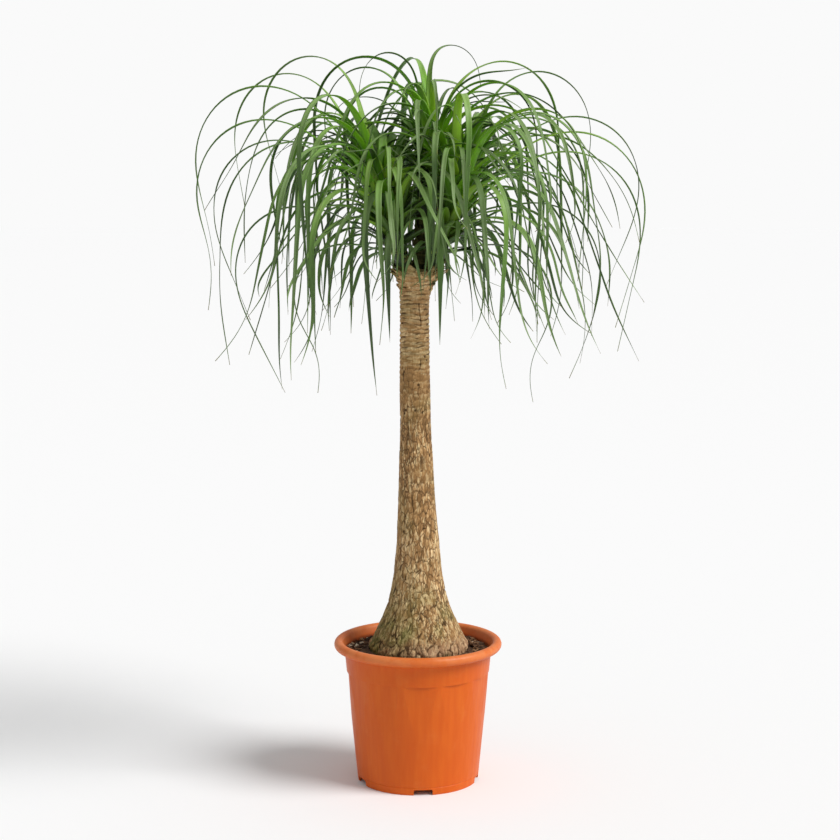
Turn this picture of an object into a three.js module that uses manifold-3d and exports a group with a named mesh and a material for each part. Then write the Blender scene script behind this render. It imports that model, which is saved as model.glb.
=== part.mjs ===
// A ponytail palm in a round nursery pot. Millimetres, +Z up, the origin in the
// middle of the pot's underside, -Y the side that faces the viewer.
import * as THREE from 'three';
import { mergeVertices } from 'three/addons/utils/BufferGeometryUtils.js';
import Module from 'manifold-3d';

const wasm = await Module();
wasm.setup();

// ---- driving dimensions ----------------------------------------------------

const GAP = 0.3; // between pieces that touch

const pot = {
  height: 230, // to the crest of the rolled rim
  rimRing: 127.3, // radius of the ring that the roll is bent round
  rimRoll: 7.7, // radius of the roll itself
  neckRadius: 118.5, // outside of the wall just under the roll
  footRadius: 97.7, // outside of the wall at the ground
  wall: 3.2,
  floorUnder: 10, // height of the floor's underside above the ground
  floorThick: 3.5,
  sides: 48,
};

// Flats pressed into the wall, the gaps between the feet, and the drain holes.
const panel = { count: 12, bottom: 100, ledge: 179, depth: 2.4, turn: -88 };
const notch = { count: 5, width: 30, height: 9, turn: -85 };
const drain = { count: 6, radius: 6, ring: 58 };

const soil = { atWall: 211, atStem: 215, lump: 2.2 };

// The stem's outline above the soil, as radius and height, with the swollen base first.
const stemOutline = [
  [78.5, 220], [74.5, 231], [68, 246], [60, 263], [52.5, 280], [46.5, 297], [42, 318], [38.5, 342],
  [35.3, 375], [32.4, 415], [30, 456], [27.6, 500], [25.2, 552], [24.4, 617], [23.6, 681], [23.3, 728],
  [23.2, 776], [25.6, 797], [33.5, 809], [38.5, 816],
];
// The rounded underside in the soil, and the dome between the heads.
const stemUnder = [[30, 142], [52, 152], [69, 172], [77, 194], [79.8, 210]];
const stemDome = [[35, 821], [20, 825]];
const stem = { bottom: 138, top: 826, sides: 18, plates: 1.6, scars: 1.0, scarStep: 13 };
const sway = { low: 1, high: -5, head: 0 }; // how far along X the stem's axis stands

const core = { footRadius: 12, tipRadius: 7, sides: 8, firstRoot: 0.08 };
const stalk = { radius: 12.6, depth: 24, slimRadius: 8.5, slimFoot: [1, 1, 812], elbow: 14 };

// The five heads: foot and tip of each one's axis, the turn of its first leaf, and how
// many leaves it tries to grow. The top one stands on a slim stalk of its own.
const heads = [
  { name: 'head_left', foot: [-21, -13, 828], tip: [-58, -42, 936], turn: 20, leaves: 52 },
  { name: 'head_right', foot: [23, -14, 828], tip: [64, -40, 930], turn: 100, leaves: 52 },
  { name: 'head_back_left', foot: [-20, 18, 832], tip: [-74, 52, 950], turn: 170, leaves: 48 },
  { name: 'head_back_right', foot: [22, 18, 832], tip: [82, 56, 960], turn: 250, leaves: 48 },
  { name: 'head_top', foot: [8, 3, 908], tip: [24, 8, 1004], turn: 330, leaves: 37, slim: true },
];

const leaf = {
  pieces: 7,
  shortPieces: 6, // of a leaf under the short length
  short: 470,
  keel: 2.2,
  steps: 48, // along the route
  seed: 30166,
  tries: 24,
  clear: 2.2, // between two blades of different heads
};

// How leaves grow from the lowest of a head to its youngest. A head at the side opens
// outwards over the given share of a turn, and the top one all round. Lengths are the
// lowest leaf's, what the longest has more, and what the youngest loses again.
const growth = {
  crowd: 0.68,
  fan: 137.508,
  sideSpread: 0.5,
  topSpread: 1,
  sideLow: 8,
  topLow: 24,
  upright: 82,
  inward: 34,
  shortest: 180,
  longer: 365,
  youngLess: 110,
  frontLess: 0.32,
  hangMore: 18,
};

// The limits between which each leaf's own numbers are drawn.
const vary = {
  azimuth: [-24, 24],
  lift: [-12, 12],
  length: [0.78, 1.14],
  limp: [0.5, 0.88],
  hang: [-102, -58],
  stiff: [-0.04, 0.1],
  drift: [-26, 26],
  flick: [-36, 48],
  turn: [-75, 75],
  twist: [-45, 45],
  width: [12.5, 18],
  veil: [0, 1],
  wave: [-16, 16],
};

// No leaf goes further: a box, and a dome above its foot.
const reach = { x: 356, y: 306, low: 590, high: 1182, domeFoot: 950, domeHeight: 238, domeX: 372 };

// Leaves placed by hand, the ones that give the crown its outline. Each row holds the
// head, how far up its axis the leaf starts (0 to 1), the azimuth and lift of the start
// in degrees, the length, the lift at which it hangs, the shares of the length where the
// bend starts and ends, drift and end turn of the azimuth, end flick, twist, and width.
const placed = [
  ['head_left', 0.86, 176, 60, 616, -112, 0.15, 0.90, 4, 0, 15, 10, 13],
  ['head_left', 0.76, 180, 51, 600, -116, 0.13, 0.88, 2, 0, 35, 8, 14],
  ['head_left', 0.60, 178, 50, 570, -112, 0.12, 0.85, -4, 0, 0, -10, 13],
  ['head_left', 0.98, 130, 72, 550, -105, 0.24, 0.88, 50, 0, 0, 10, 16],
  ['head_back_right', 0.70, 6, 50, 580, -112, 0.14, 0.88, -10, 0, 0, 10, 13],
  ['head_right', 0.74, -10, 48, 600, -106, 0.12, 0.84, 0, 0, 0, 10, 14],
  ['head_right', 0.60, 2, 45, 600, -102, 0.10, 0.82, 0, 0, 0, 10, 15],
  ['head_top', 0.80, -150, 81, 290, -85, 0.40, 1.00, -20, 0, 0, 0, 17],
  ['head_top', 0.92, 115, 83, 300, -85, 0.40, 1.00, -115, 0, 0, 0, 15],
  ['head_top', 0.55, 150, 75, 455, -100, 0.20, 0.85, 20, 0, 0, 0, 12],
  ['head_right', 0.97, 30, 73, 520, -100, 0.20, 0.90, -30, 0, 0, 10, 14],
  ['head_left', 0.26, -108, 62, 450, -96, 0.08, 0.50, -22, -20, 0, 0, 20],
  ['head_left', 0.45, -40, 72, 290, -100, 0.10, 0.65, -60, 0, 0, 0, 18],
  ['head_left', 0.76, -54, 64, 320, -97, 0.10, 0.62, 10, 0, 0, -8, 19],
  ['head_right', 0.80, -118, 74, 380, -97, 0.22, 0.62, 44, 0, 0, -8, 18],
  ['head_right', 0.85, -88, 74, 540, -97, 0.22, 0.60, 20, -80, 30, -8, 18],
  ['head_right', 0.46, -58, 50, 470, -96, 0.10, 0.55, 6, 30, 20, -8, 18],
  ['head_right', 0.86, -52, 64, 430, -97, 0.20, 0.65, 8, 0, 0, -8, 18],
  ['head_left', 0.80, -126, 68, 590, -97, 0.15, 0.70, 6, 0, 0, -8, 19],
  ['head_left', 0.12, -100, 48, 260, -97, 0.05, 0.60, 0, 0, 0, 0, 18],
  ['head_right', 0.12, -88, 46, 260, -97, 0.05, 0.60, 0, 0, 0, 0, 17],
  ['head_right', 0.66, -66, 52, 600, -104, 0.12, 0.85, 0, 0, 20, 10, 14],
  ['head_left', 0.20, 184, 32, 530, -116, 0.10, 0.80, 0, 0, 0, 10, 15],
  ['head_left', 0.10, 190, 18, 370, -122, 0.05, 0.80, 0, 0, 40, 10, 14],
  ['head_right', 0.12, -6, 16, 390, -118, 0.05, 0.80, 0, 0, 40, 10, 14],
  ['head_right', 0.30, 2, 34, 500, -104, 0.08, 0.80, 0, 0, -10, 10, 15],
  ['head_back_left', 0.90, 150, 66, 540, -100, 0.20, 0.90, 20, 0, 0, 10, 13],
];

// ---- colours and finishes --------------------------------------------------

const orangePlastic = new THREE.MeshStandardMaterial({ color: 0xd46a32, roughness: 0.5, metalness: 0 });
const pottingSoil = new THREE.MeshStandardMaterial({ color: 0x5e432f, roughness: 0.95, metalness: 0 });
const corkyBark = new THREE.MeshStandardMaterial({ color: 0x9a7a56, roughness: 0.9, metalness: 0 });
const leafGreen = new THREE.MeshStandardMaterial({ color: 0x3f6b2c, roughness: 0.45, metalness: 0 });

// ---- helpers ---------------------------------------------------------------

const radians = THREE.MathUtils.degToRad;
const vec = (v) => new THREE.Vector3(...v);
const ease = (x) => THREE.MathUtils.smoothstep(x, 0, 1);

function toSolid(geometry) {
  const bare = geometry.clone();
  bare.deleteAttribute('normal');
  bare.deleteAttribute('uv');
  const merged = mergeVertices(bare, 1e-3);
  return new wasm.Manifold(new wasm.Mesh({
    numProp: 3,
    vertProperties: new Float32Array(merged.attributes.position.array),
    triVerts: new Uint32Array(merged.index.array),
  }));
}

function toMesh(name, solid, material) {
  const { vertProperties, triVerts } = solid.getMesh();
  const geometry = new THREE.BufferGeometry();
  geometry.setAttribute('position', new THREE.BufferAttribute(vertProperties, 3));
  geometry.setIndex(new THREE.BufferAttribute(triVerts, 1));
  geometry.computeVertexNormals();
  const mesh = new THREE.Mesh(geometry, material);
  mesh.name = name;
  return mesh;
}

// The largest body of a solid, without loose scraps.
function mainBody(solid) {
  return solid.decompose().reduce((best, body) => (body.volume() > best.volume() ? body : best));
}

// A profile of [radius, height] points turned round Z. It runs counterclockwise in the
// half plane, so that the faces point out; warp moves each point of the surface.
function turned(profile, sides, warp = null) {
  const geometry = new THREE.LatheGeometry(profile.map((p) => new THREE.Vector2(...p)), sides);
  geometry.rotateX(Math.PI / 2);
  if (warp) {
    const position = geometry.attributes.position;
    const point = new THREE.Vector3();
    for (let i = 0; i < position.count; i += 1) {
      warp(point.fromBufferAttribute(position, i));
      position.setXYZ(i, point.x, point.y, point.z);
    }
  }
  return geometry;
}

// A round bar from one point to another.
function bar(from, to, radiusFrom, radiusTo, sides) {
  const along = to.clone().sub(from);
  const geometry = new THREE.CylinderGeometry(radiusTo, radiusFrom, along.length(), sides);
  geometry.translate(0, along.length() / 2, 0);
  const turn = new THREE.Quaternion().setFromUnitVectors(new THREE.Vector3(0, 1, 0), along.normalize());
  return geometry.applyQuaternion(turn).translate(from.x, from.y, from.z);
}

// ---- pot -------------------------------------------------------------------

const rimCentre = pot.height - pot.rimRoll;
const wallSlope = (pot.neckRadius - pot.footRadius) / (rimCentre - pot.rimRoll);
const wallRadius = (z) => pot.footRadius + wallSlope * z;
const insideRadius = (z) => wallRadius(z) - pot.wall;
const floorTop = pot.floorUnder + pot.floorThick;

function makePot() {
  const under = rimCentre - pot.rimRoll;
  const profile = [
    [insideRadius(0), 0], [pot.footRadius, 0], [wallRadius(under), under],
  ];
  for (let a = -70; a <= 170; a += 48) {
    const rise = pot.rimRoll * Math.sin(radians(a));
    profile.push([pot.rimRing + pot.rimRoll * Math.cos(radians(a)), rimCentre + rise]);
  }
  profile.push([insideRadius(under), under - 4], [insideRadius(floorTop), floorTop], [0, floorTop],
    [0, pot.floorUnder], [insideRadius(pot.floorUnder), pot.floorUnder], [insideRadius(0), 0]);
  let solid = toSolid(turned(profile, pot.sides));

  // A flat is a box whose inner face leans from the ledge out to the wall.
  const ledgeRadius = wallRadius(panel.ledge) - panel.depth;
  const outward = wallRadius(panel.bottom);
  for (let i = 0; i < panel.count; i += 1) {
    const outline = new THREE.Shape([
      new THREE.Vector2(outward, panel.bottom), new THREE.Vector2(outward + 30, panel.bottom),
      new THREE.Vector2(outward + 30, panel.ledge), new THREE.Vector2(ledgeRadius, panel.ledge),
    ]);
    const cutter = new THREE.ExtrudeGeometry(outline, { depth: 80, bevelEnabled: false });
    cutter.translate(0, 0, -40).rotateX(Math.PI / 2);
    cutter.rotateZ(radians(panel.turn + (360 / panel.count) * i));
    solid = solid.subtract(toSolid(cutter));
  }
  for (let i = 0; i < notch.count; i += 1) {
    const cutter = new THREE.BoxGeometry(40, notch.width, 2 * notch.height);
    cutter.translate(pot.footRadius, 0, 0).rotateZ(radians(notch.turn + (360 / notch.count) * i));
    solid = solid.subtract(toSolid(cutter));
  }
  for (let i = 0; i < drain.count; i += 1) {
    const turn = (2 * Math.PI * i) / drain.count;
    const cutter = new THREE.CylinderGeometry(drain.radius, drain.radius, 40, 10).rotateX(Math.PI / 2);
    cutter.translate(drain.ring * Math.cos(turn), drain.ring * Math.sin(turn), floorTop);
    solid = solid.subtract(toSolid(cutter));
  }
  return solid;
}

// ---- stem ------------------------------------------------------------------

const swayAt = (z) => sway.low + (sway.high - sway.low) * ease((z - 230) / 470)
  + (sway.head - sway.high) * ease((z - 775) / 40);

// Radius of the stem at a height, straight between the outline's points.
function stemRadius(z) {
  const next = stemOutline.findIndex((p) => p[1] >= z);
  if (next <= 0) return stemOutline[0][0];
  const [r0, z0] = stemOutline[next - 1];
  const [r1, z1] = stemOutline[next];
  return r0 + ((r1 - r0) * (z - z0)) / (z1 - z0);
}

// Corky plates round the swollen base, and rings of leaf scars up the stem.
function barkRelief(angle, z) {
  const onBase = ease((z - 222) / 14) * (1 - ease((z - 330) / 120));
  const onStem = ease((z - 420) / 120) * (1 - ease((z - 800) / 12));
  const plates = Math.sin(7 * angle + 2.1 * Math.sin(z / 19))
    * Math.cos(z / 11 + 1.4 * Math.sin(3 * angle));
  const ring = Math.cos((2 * Math.PI * z) / stem.scarStep + 0.9 * Math.sin(2 * angle));
  return stem.plates * onBase * plates + stem.scars * onStem * ring * 0.5;
}

function stemProfile() {
  const rows = [];
  for (let z = 236; z < 790; z += z < 400 ? 17 : 25.5) rows.push([stemRadius(z), z]);
  const neck = stemOutline.filter((p) => p[1] > 790);
  return [[0, stem.bottom], ...stemUnder, stemOutline[0], ...rows, ...neck, ...stemDome, [0, stem.top]];
}

function makeStem() {
  const warp = (point) => {
    const angle = Math.atan2(point.y, point.x);
    const radius = Math.hypot(point.x, point.y);
    if (radius > 1) {
      const grown = radius + barkRelief(angle, point.z);
      point.x *= grown / radius;
      point.y *= grown / radius;
    }
    point.x += swayAt(point.z);
  };
  let solid = toSolid(turned(stemProfile(), stem.sides, warp));
  for (const head of heads) {
    const foot = vec(head.foot);
    const along = vec(head.tip).sub(foot).normalize();
    const end = foot.clone().addScaledVector(along, -GAP);
    const from = foot.clone().addScaledVector(along, head.slim ? -stalk.elbow : -stalk.depth);
    const radius = head.slim ? stalk.slimRadius : stalk.radius;
    solid = solid.add(toSolid(bar(from, end, radius, radius, core.sides)));
    if (head.slim) {
      const bend = from.clone().addScaledVector(along, 3);
      solid = solid.add(toSolid(bar(vec(stalk.slimFoot), bend, radius + 1.5, radius, core.sides)));
    }
  }
  return mainBody(solid);
}

// ---- soil ------------------------------------------------------------------

function makeSoil() {
  const bottom = floorTop + GAP;
  const fit = (z) => insideRadius(z) - GAP - 0.2;
  const seat = stemUnder.map(([r, z]) => [r + 0.5, z - GAP]);
  const brim = seat[seat.length - 1];
  const mid = (brim[0] + fit(soil.atWall)) / 2;
  const profile = [
    [0, bottom], [fit(bottom), bottom], [fit(soil.atWall), soil.atWall], [mid + 12, soil.atWall + 1],
    [mid, soil.atWall + 2], [mid - 12, soil.atStem - 1], [brim[0] + 0.8, soil.atStem],
    ...seat.reverse(), [0, stem.bottom - GAP],
  ];
  const warp = (point) => {
    const radius = Math.hypot(point.x, point.y);
    const loose = Math.abs(radius - mid) < 14 && point.z > soil.atWall - 1;
    if (loose) point.z += soil.lump * Math.sin(point.x / 6.1) * Math.cos(point.y / 5.3);
    if (radius < brim[0] + 2) point.x += swayAt(point.z);
  };
  return toSolid(turned(profile, 2 * stem.sides, warp));
}

// ---- leaves ----------------------------------------------------------------

// Park and Miller's generator: the same draws on every run.
let drawState = leaf.seed;
function draw() {
  drawState = (drawState * 48271) % 2147483647;
  return drawState / 2147483647;
}
const between = (a, b) => a + (b - a) * draw();

// The blade's direction at a share t of its length, as lift and azimuth.
function headingOf(blade, t) {
  const bend = ease((t - blade.stiff) / (blade.limp - blade.stiff));
  const end = ease((t - 0.72) / 0.28);
  return {
    lift: radians(blade.lift + (blade.hang - blade.lift) * bend + blade.flick * end),
    azimuth: radians(blade.azimuth + blade.drift * ease(t) + blade.turn * end
      + blade.wave * Math.sin(7 * t) * ease(t / 0.3)),
  };
}

function routeOf(blade) {
  const step = blade.length / leaf.steps;
  const point = blade.root.clone();
  const route = [point.clone()];
  for (let i = 0; i < leaf.steps; i += 1) {
    const { lift, azimuth } = headingOf(blade, (i + 0.5) / leaf.steps);
    point.x += step * Math.cos(lift) * Math.cos(azimuth);
    point.y += step * Math.cos(lift) * Math.sin(azimuth);
    point.z += step * Math.sin(lift);
    route.push(point.clone());
  }
  return route;
}

function halfWidth(blade, t) {
  const clasp = 0.3 + 0.85 * ease(t / 0.14) - 0.15 * ease((t - 0.14) / 0.2);
  return 0.5 * blade.width * clasp * Math.max(0, 1 - t ** 1.25) ** 0.85;
}

// Cross-sections along the blade, closer together where it bends.
function sectionsOf(blade) {
  const route = routeOf(blade);
  const bends = (blade.length < leaf.short ? leaf.shortPieces : leaf.pieces) - 2;
  const shares = Array.from({ length: bends + 1 }, (_, j) => (blade.limp * j) / bends);
  shares.push((blade.limp + 1) / 2, 1);
  return shares.map((t) => {
    const place = t * leaf.steps;
    const i = Math.min(Math.floor(place), leaf.steps - 1);
    const { lift, azimuth } = headingOf(blade, t);
    const twist = radians(blade.twist * t);
    const level = new THREE.Vector3(-Math.sin(azimuth), Math.cos(azimuth), 0);
    const above = new THREE.Vector3(-Math.sin(lift) * Math.cos(azimuth),
      -Math.sin(lift) * Math.sin(azimuth), Math.cos(lift));
    return {
      t,
      point: route[i].clone().lerp(route[i + 1], place - i),
      side: level.clone().multiplyScalar(Math.cos(twist)).addScaledVector(above, Math.sin(twist)),
      back: level.multiplyScalar(Math.sin(twist)).addScaledVector(above, -Math.cos(twist)),
      half: halfWidth(blade, t),
    };
  });
}

// Shortest way between two straight stretches, as shares along each and a vector.
function nearest(a0, a1, b0, b1) {
  const da = a1.clone().sub(a0);
  const db = b1.clone().sub(b0);
  const r = a0.clone().sub(b0);
  const a = Math.max(da.lengthSq(), 1e-9);
  const e = Math.max(db.lengthSq(), 1e-9);
  const f = db.dot(r);
  const c = da.dot(r);
  const b = da.dot(db);
  const den = a * e - b * b;
  let s = den > 1e-9 ? THREE.MathUtils.clamp((b * f - c * e) / den, 0, 1) : 0;
  let t = (b * s + f) / e;
  if (t < 0) s = THREE.MathUtils.clamp(-c / a, 0, 1);
  if (t > 1) s = THREE.MathUtils.clamp((b - c) / a, 0, 1);
  t = THREE.MathUtils.clamp(t, 0, 1);
  return { s, t, way: r.addScaledVector(da, s).addScaledVector(db, -t) };
}

const taken = []; // every stretch of leaf or stalk that is already in place

function take(sections, head) {
  for (let j = 0; j + 1 < sections.length; j += 1) {
    const [low, high] = [sections[j], sections[j + 1]];
    const side = low.side.clone().add(high.side).multiplyScalar(0.5);
    const box = new THREE.Box3().setFromPoints([low.point, high.point]);
    taken.push({ low, high, side, head, box: box.expandByScalar(low.half + leaf.clear + 2) });
  }
}

// True where a leaf's blade keeps clear of all that is in place. Leaves of one head may
// clasp each other near the root and come closer further out.
function isClear(sections, head) {
  for (let j = 0; j + 1 < sections.length; j += 1) {
    const [low, high] = [sections[j], sections[j + 1]];
    const side = low.side.clone().add(high.side).multiplyScalar(0.5);
    const box = new THREE.Box3().setFromPoints([low.point, high.point]).expandByScalar(low.half + 14);
    for (const other of taken) {
      const same = other.head === head;
      const clasps = same && (low.t < 0.16 || other.low.t < 0.16);
      if (clasps || !box.intersectsBox(other.box)) continue;
      const { s, t, way } = nearest(low.point, high.point, other.low.point, other.high.point);
      const distance = way.length();
      way.divideScalar(Math.max(distance, 1e-6));
      const mine = Math.abs(way.dot(side)) * THREE.MathUtils.lerp(low.half, high.half, s);
      const itsHalf = THREE.MathUtils.lerp(other.low.half, other.high.half, t);
      const its = Math.abs(way.dot(other.side)) * itsHalf;
      const need = mine + its + leaf.clear;
      if (distance < (same ? 0.85 * need : need)) return false;
    }
  }
  return true;
}

function withinReach({ x, y, z }) {
  const rise = Math.max(z - reach.domeFoot, 0) / reach.domeHeight;
  return Math.abs(x) <= reach.x && Math.abs(y) <= reach.y && z >= reach.low && z <= reach.high
    && (x / reach.domeX) ** 2 + rise ** 2 <= 1;
}

// The crown's front stays open: the stem shows below it, and few leaves hang before it.
function fits(blade, sections, head) {
  for (const section of sections) {
    const { x, y, z } = section.point;
    if (!withinReach(section.point)) return false;
    if (z < 835 && Math.hypot(x - sway.high, y) < 46) return false;
    if (y < 0 && z < 780 && Math.abs(x - sway.high) < 36) return false;
    if (y < 0 && z < 800 && Math.abs(x) < 130 && blade.veil > 0.3) return false;
  }
  return isClear(sections, head);
}

function rootOf(head, up, azimuth) {
  const radius = (core.footRadius + (core.tipRadius - core.footRadius) * up) * 0.5;
  const root = vec(head.foot).lerp(vec(head.tip), core.firstRoot + (0.96 - core.firstRoot) * up);
  root.x += radius * Math.cos(radians(azimuth));
  root.y += radius * Math.sin(radians(azimuth));
  return root;
}

// A leaf of the spiral: the lowest is short and low, the youngest stands upright.
function drawBlade(head, index) {
  const up = ((index + 0.5) / head.leaves) ** growth.crowd;
  const spread = head.slim ? growth.topSpread : growth.sideSpread;
  const low = head.slim ? growth.topLow : growth.sideLow;
  const axis = vec(head.tip).sub(vec(head.foot));
  const outward = THREE.MathUtils.radToDeg(Math.atan2(axis.y, axis.x));
  const fanned = head.turn + index * growth.fan - outward;
  const round = THREE.MathUtils.euclideanModulo(fanned + 180, 360) - 180;
  const azimuth = outward + round * (spread + (1 - spread) * up) + between(...vary.azimuth);
  const inward = 0.5 - 0.5 * Math.cos(radians(azimuth - outward));
  const rise = low + (growth.upright - low) * up ** 0.7 + growth.inward * inward * (1 - up) * spread;
  const lift = Math.min(rise + between(...vary.lift), 86);
  const facing = THREE.MathUtils.euclideanModulo(azimuth + 180, 360) - 180 + 90;
  const front = Math.exp(-((facing / 22) ** 2));
  const grown = growth.shortest + growth.longer * ease(up / 0.8)
    - growth.youngLess * ease((up - 0.8) / 0.2);
  const length = grown * between(...vary.length) * (1 - growth.frontLess * front);
  return {
    root: rootOf(head, up, azimuth),
    azimuth,
    lift,
    length,
    limp: between(...vary.limp),
    hang: between(...vary.hang) + growth.hangMore * (1 - up),
    stiff: between(...vary.stiff),
    drift: between(...vary.drift),
    flick: between(...vary.flick),
    turn: between(...vary.turn),
    twist: between(...vary.twist),
    width: between(...vary.width),
    veil: between(...vary.veil),
    wave: between(...vary.wave),
  };
}

function placedBlade(row) {
  const [name, up, azimuth, lift, length, hang, stiff, limp, drift, turn, flick, twist, width] = row;
  const head = heads.find((h) => h.name === name);
  const root = rootOf(head, up, azimuth);
  const still = { veil: 0, wave: 0 };
  const bend = { lift, length, hang, stiff, limp, drift, turn, flick, twist };
  return { head, root, azimuth, width, ...bend, ...still };
}

// A three-sided blade: two edges and a keel, drawn from a cone bent along the route.
function bladeGeometry(sections) {
  const geometry = new THREE.ConeGeometry(1, 1, 3, sections.length - 1);
  const position = geometry.attributes.position;
  const point = new THREE.Vector3();
  for (let i = 0; i < position.count; i += 1) {
    point.fromBufferAttribute(position, i);
    const nearby = Math.round((point.y + 0.5) * (sections.length - 1));
    const { point: at, side, back, half, t } = sections[nearby];
    const across = Math.hypot(point.x, point.z) > 1e-6 ? Math.atan2(point.x, point.z) : null;
    const moved = at.clone();
    if (across === null) moved.addScaledVector(back, t < 0.5 ? leaf.keel / 3 : 0);
    else if (Math.abs(across) < 0.5) moved.addScaledVector(back, leaf.keel * (1 - 0.4 * t));
    else moved.addScaledVector(side, across > 0 ? half : -half);
    position.setXYZ(i, moved.x, moved.y, moved.z);
  }
  return geometry;
}

// Plain sections down a stalk, so that leaves can be kept clear of it.
function stalkSections(from, to, half, side) {
  const middle = from.clone().lerp(to, 0.5);
  return [from, middle, to].map((point) => ({ t: 0, point, side, half }));
}

function growCrown() {
  const grown = new Map(heads.map((head) => [head, []]));
  for (const head of heads) {
    const foot = vec(head.foot);
    const tip = vec(head.tip);
    const below = foot.clone().addScaledVector(tip.clone().sub(foot), -0.15);
    for (const side of [new THREE.Vector3(1, 0, 0), new THREE.Vector3(0, 1, 0)]) {
      take(stalkSections(below, tip, 11, side), head);
      if (head.slim) take(stalkSections(vec(stalk.slimFoot), foot, 10, side), null);
    }
  }
  const settle = (blade, head) => {
    const sections = sectionsOf(blade);
    if (!fits(blade, sections, head)) return false;
    take(sections, head);
    grown.get(head).push(sections);
    return true;
  };
  for (const row of placed) {
    const blade = placedBlade(row);
    settle(blade, blade.head);
  }
  const most = Math.max(...heads.map((head) => head.leaves));
  for (let i = 0; i < most; i += 1) {
    for (const head of heads) {
      let tries = i < head.leaves ? leaf.tries : 0;
      while (tries > 0 && !settle(drawBlade(head, head.leaves - 1 - i), head)) tries -= 1;
    }
  }
  return grown;
}

function makeHead(head, blades) {
  const foot = vec(head.foot);
  const tip = vec(head.tip);
  const parts = [toSolid(bar(foot, tip, core.footRadius, core.tipRadius, core.sides))];
  for (const sections of blades) parts.push(toSolid(bladeGeometry(sections)));
  return mainBody(wasm.Manifold.union(parts));
}

// ---- assembly --------------------------------------------------------------

const group = new THREE.Group();
group.add(toMesh('pot', makePot(), orangePlastic));
group.add(toMesh('soil', makeSoil(), pottingSoil));
group.add(toMesh('stem', makeStem(), corkyBark));
for (const [head, blades] of growCrown()) {
  group.add(toMesh(head.name, makeHead(head, blades), leafGreen));
}

export default group;
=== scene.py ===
import math
import bpy
import numpy as np
from mathutils import Matrix, Vector, noise


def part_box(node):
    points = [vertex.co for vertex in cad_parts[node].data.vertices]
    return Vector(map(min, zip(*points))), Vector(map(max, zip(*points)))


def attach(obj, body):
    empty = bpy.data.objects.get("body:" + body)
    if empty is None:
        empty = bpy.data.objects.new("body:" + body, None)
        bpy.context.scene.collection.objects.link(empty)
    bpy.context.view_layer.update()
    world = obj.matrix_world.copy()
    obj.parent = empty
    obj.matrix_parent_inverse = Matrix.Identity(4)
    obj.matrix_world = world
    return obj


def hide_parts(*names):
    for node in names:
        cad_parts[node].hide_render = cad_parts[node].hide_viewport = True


# A ponytail palm in an orange nursery pot. Metres, +Z up, -Y towards the viewer.
# The dictionaries give sizes in millimetres and angles in degrees.

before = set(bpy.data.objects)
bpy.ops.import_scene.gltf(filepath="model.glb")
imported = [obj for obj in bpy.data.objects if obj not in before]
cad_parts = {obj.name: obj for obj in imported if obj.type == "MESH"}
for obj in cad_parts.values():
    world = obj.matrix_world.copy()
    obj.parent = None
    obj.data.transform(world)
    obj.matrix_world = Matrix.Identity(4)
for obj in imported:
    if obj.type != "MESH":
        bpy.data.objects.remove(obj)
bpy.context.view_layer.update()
mm = 0.001
goldenTurn = 137.508  # from one leaf to the next


# small helpers

def linear(hexColour):  # sRGB hex to the linear colour that a socket takes
    parts = [int(hexColour[i:i + 2], 16) / 255 for i in (1, 3, 5)]
    return [p / 12.92 if p <= 0.04045 else ((p + 0.055) / 1.055) ** 2.4 for p in parts] + [1.0]


def setInputs(tree, node, inputs):  # an input is named or numbered, and takes a link or a value
    for name, value in inputs.items():
        if isinstance(value, bpy.types.NodeSocket):
            tree.links.new(value, node.inputs[name])
        else:
            node.inputs[name].default_value = value


def addNode(tree, kind, settings=None, inputs=None):
    node = tree.nodes.new(kind)
    for name, value in (settings or {}).items():
        setattr(node, name, value)
    setInputs(tree, node, inputs or {})
    return node


def newMaterial(name):  # with its tree, its shader and the place on the object
    material = bpy.data.materials.new(name)
    material.use_nodes = True
    tree = material.node_tree
    place = addNode(tree, "ShaderNodeTexCoord").outputs["Object"]
    return material, tree, tree.nodes["Principled BSDF"], place


def storedNumbers(tree, name):  # the three numbers that a piece carries for each point
    numbers = addNode(tree, "ShaderNodeAttribute", {"attribute_name": name}).outputs["Color"]
    return numbers, addNode(tree, "ShaderNodeSeparateColor", {}, {"Color": numbers}).outputs


def colourRamp(tree, factor, stops):  # stops are (place, hex) from low to high
    node = addNode(tree, "ShaderNodeValToRGB", {}, {"Fac": factor})
    band = node.color_ramp
    while len(band.elements) < len(stops):
        band.elements.new(0.5)
    for element, (place, colour) in zip(band.elements, stops):
        element.position = place
        element.color = linear(colour)
    return node.outputs["Color"]


def mixColour(tree, factor, first, second):  # a colour is a link or a hex
    first, second = (linear(c) if isinstance(c, str) else c for c in (first, second))
    return addNode(tree, "ShaderNodeMix", {"data_type": "RGBA"}, {0: factor, 6: first, 7: second}).outputs[2]


def mixNumber(tree, factor, first, second):
    return addNode(tree, "ShaderNodeMix", {}, {0: factor, 2: first, 3: second}).outputs[0]


def times(tree, first, second):
    return addNode(tree, "ShaderNodeMath", {"operation": "MULTIPLY"}, {0: first, 1: second}).outputs[0]


def vectorMath(tree, operation, *values):
    return addNode(tree, "ShaderNodeVectorMath", {"operation": operation}, dict(enumerate(values))).outputs


def upOf(tree, vector):
    return addNode(tree, "ShaderNodeSeparateXYZ", {}, {"Vector": vector}).outputs["Z"]


def fromAxis(tree, place):  # how far it is from the upright axis
    return vectorMath(tree, "LENGTH", vectorMath(tree, "MULTIPLY", place, (1, 1, 0))[0])["Value"]


def stretched(tree, place, scale):
    return addNode(tree, "ShaderNodeMapping", {}, {"Vector": place, "Scale": scale}).outputs[0]


def noiseOn(tree, place, scale=1.0, **more):  # scale counts the lumps in a metre
    return addNode(tree, "ShaderNodeTexNoise", {}, {"Vector": place, "Scale": scale, **more}).outputs["Fac"]


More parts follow.
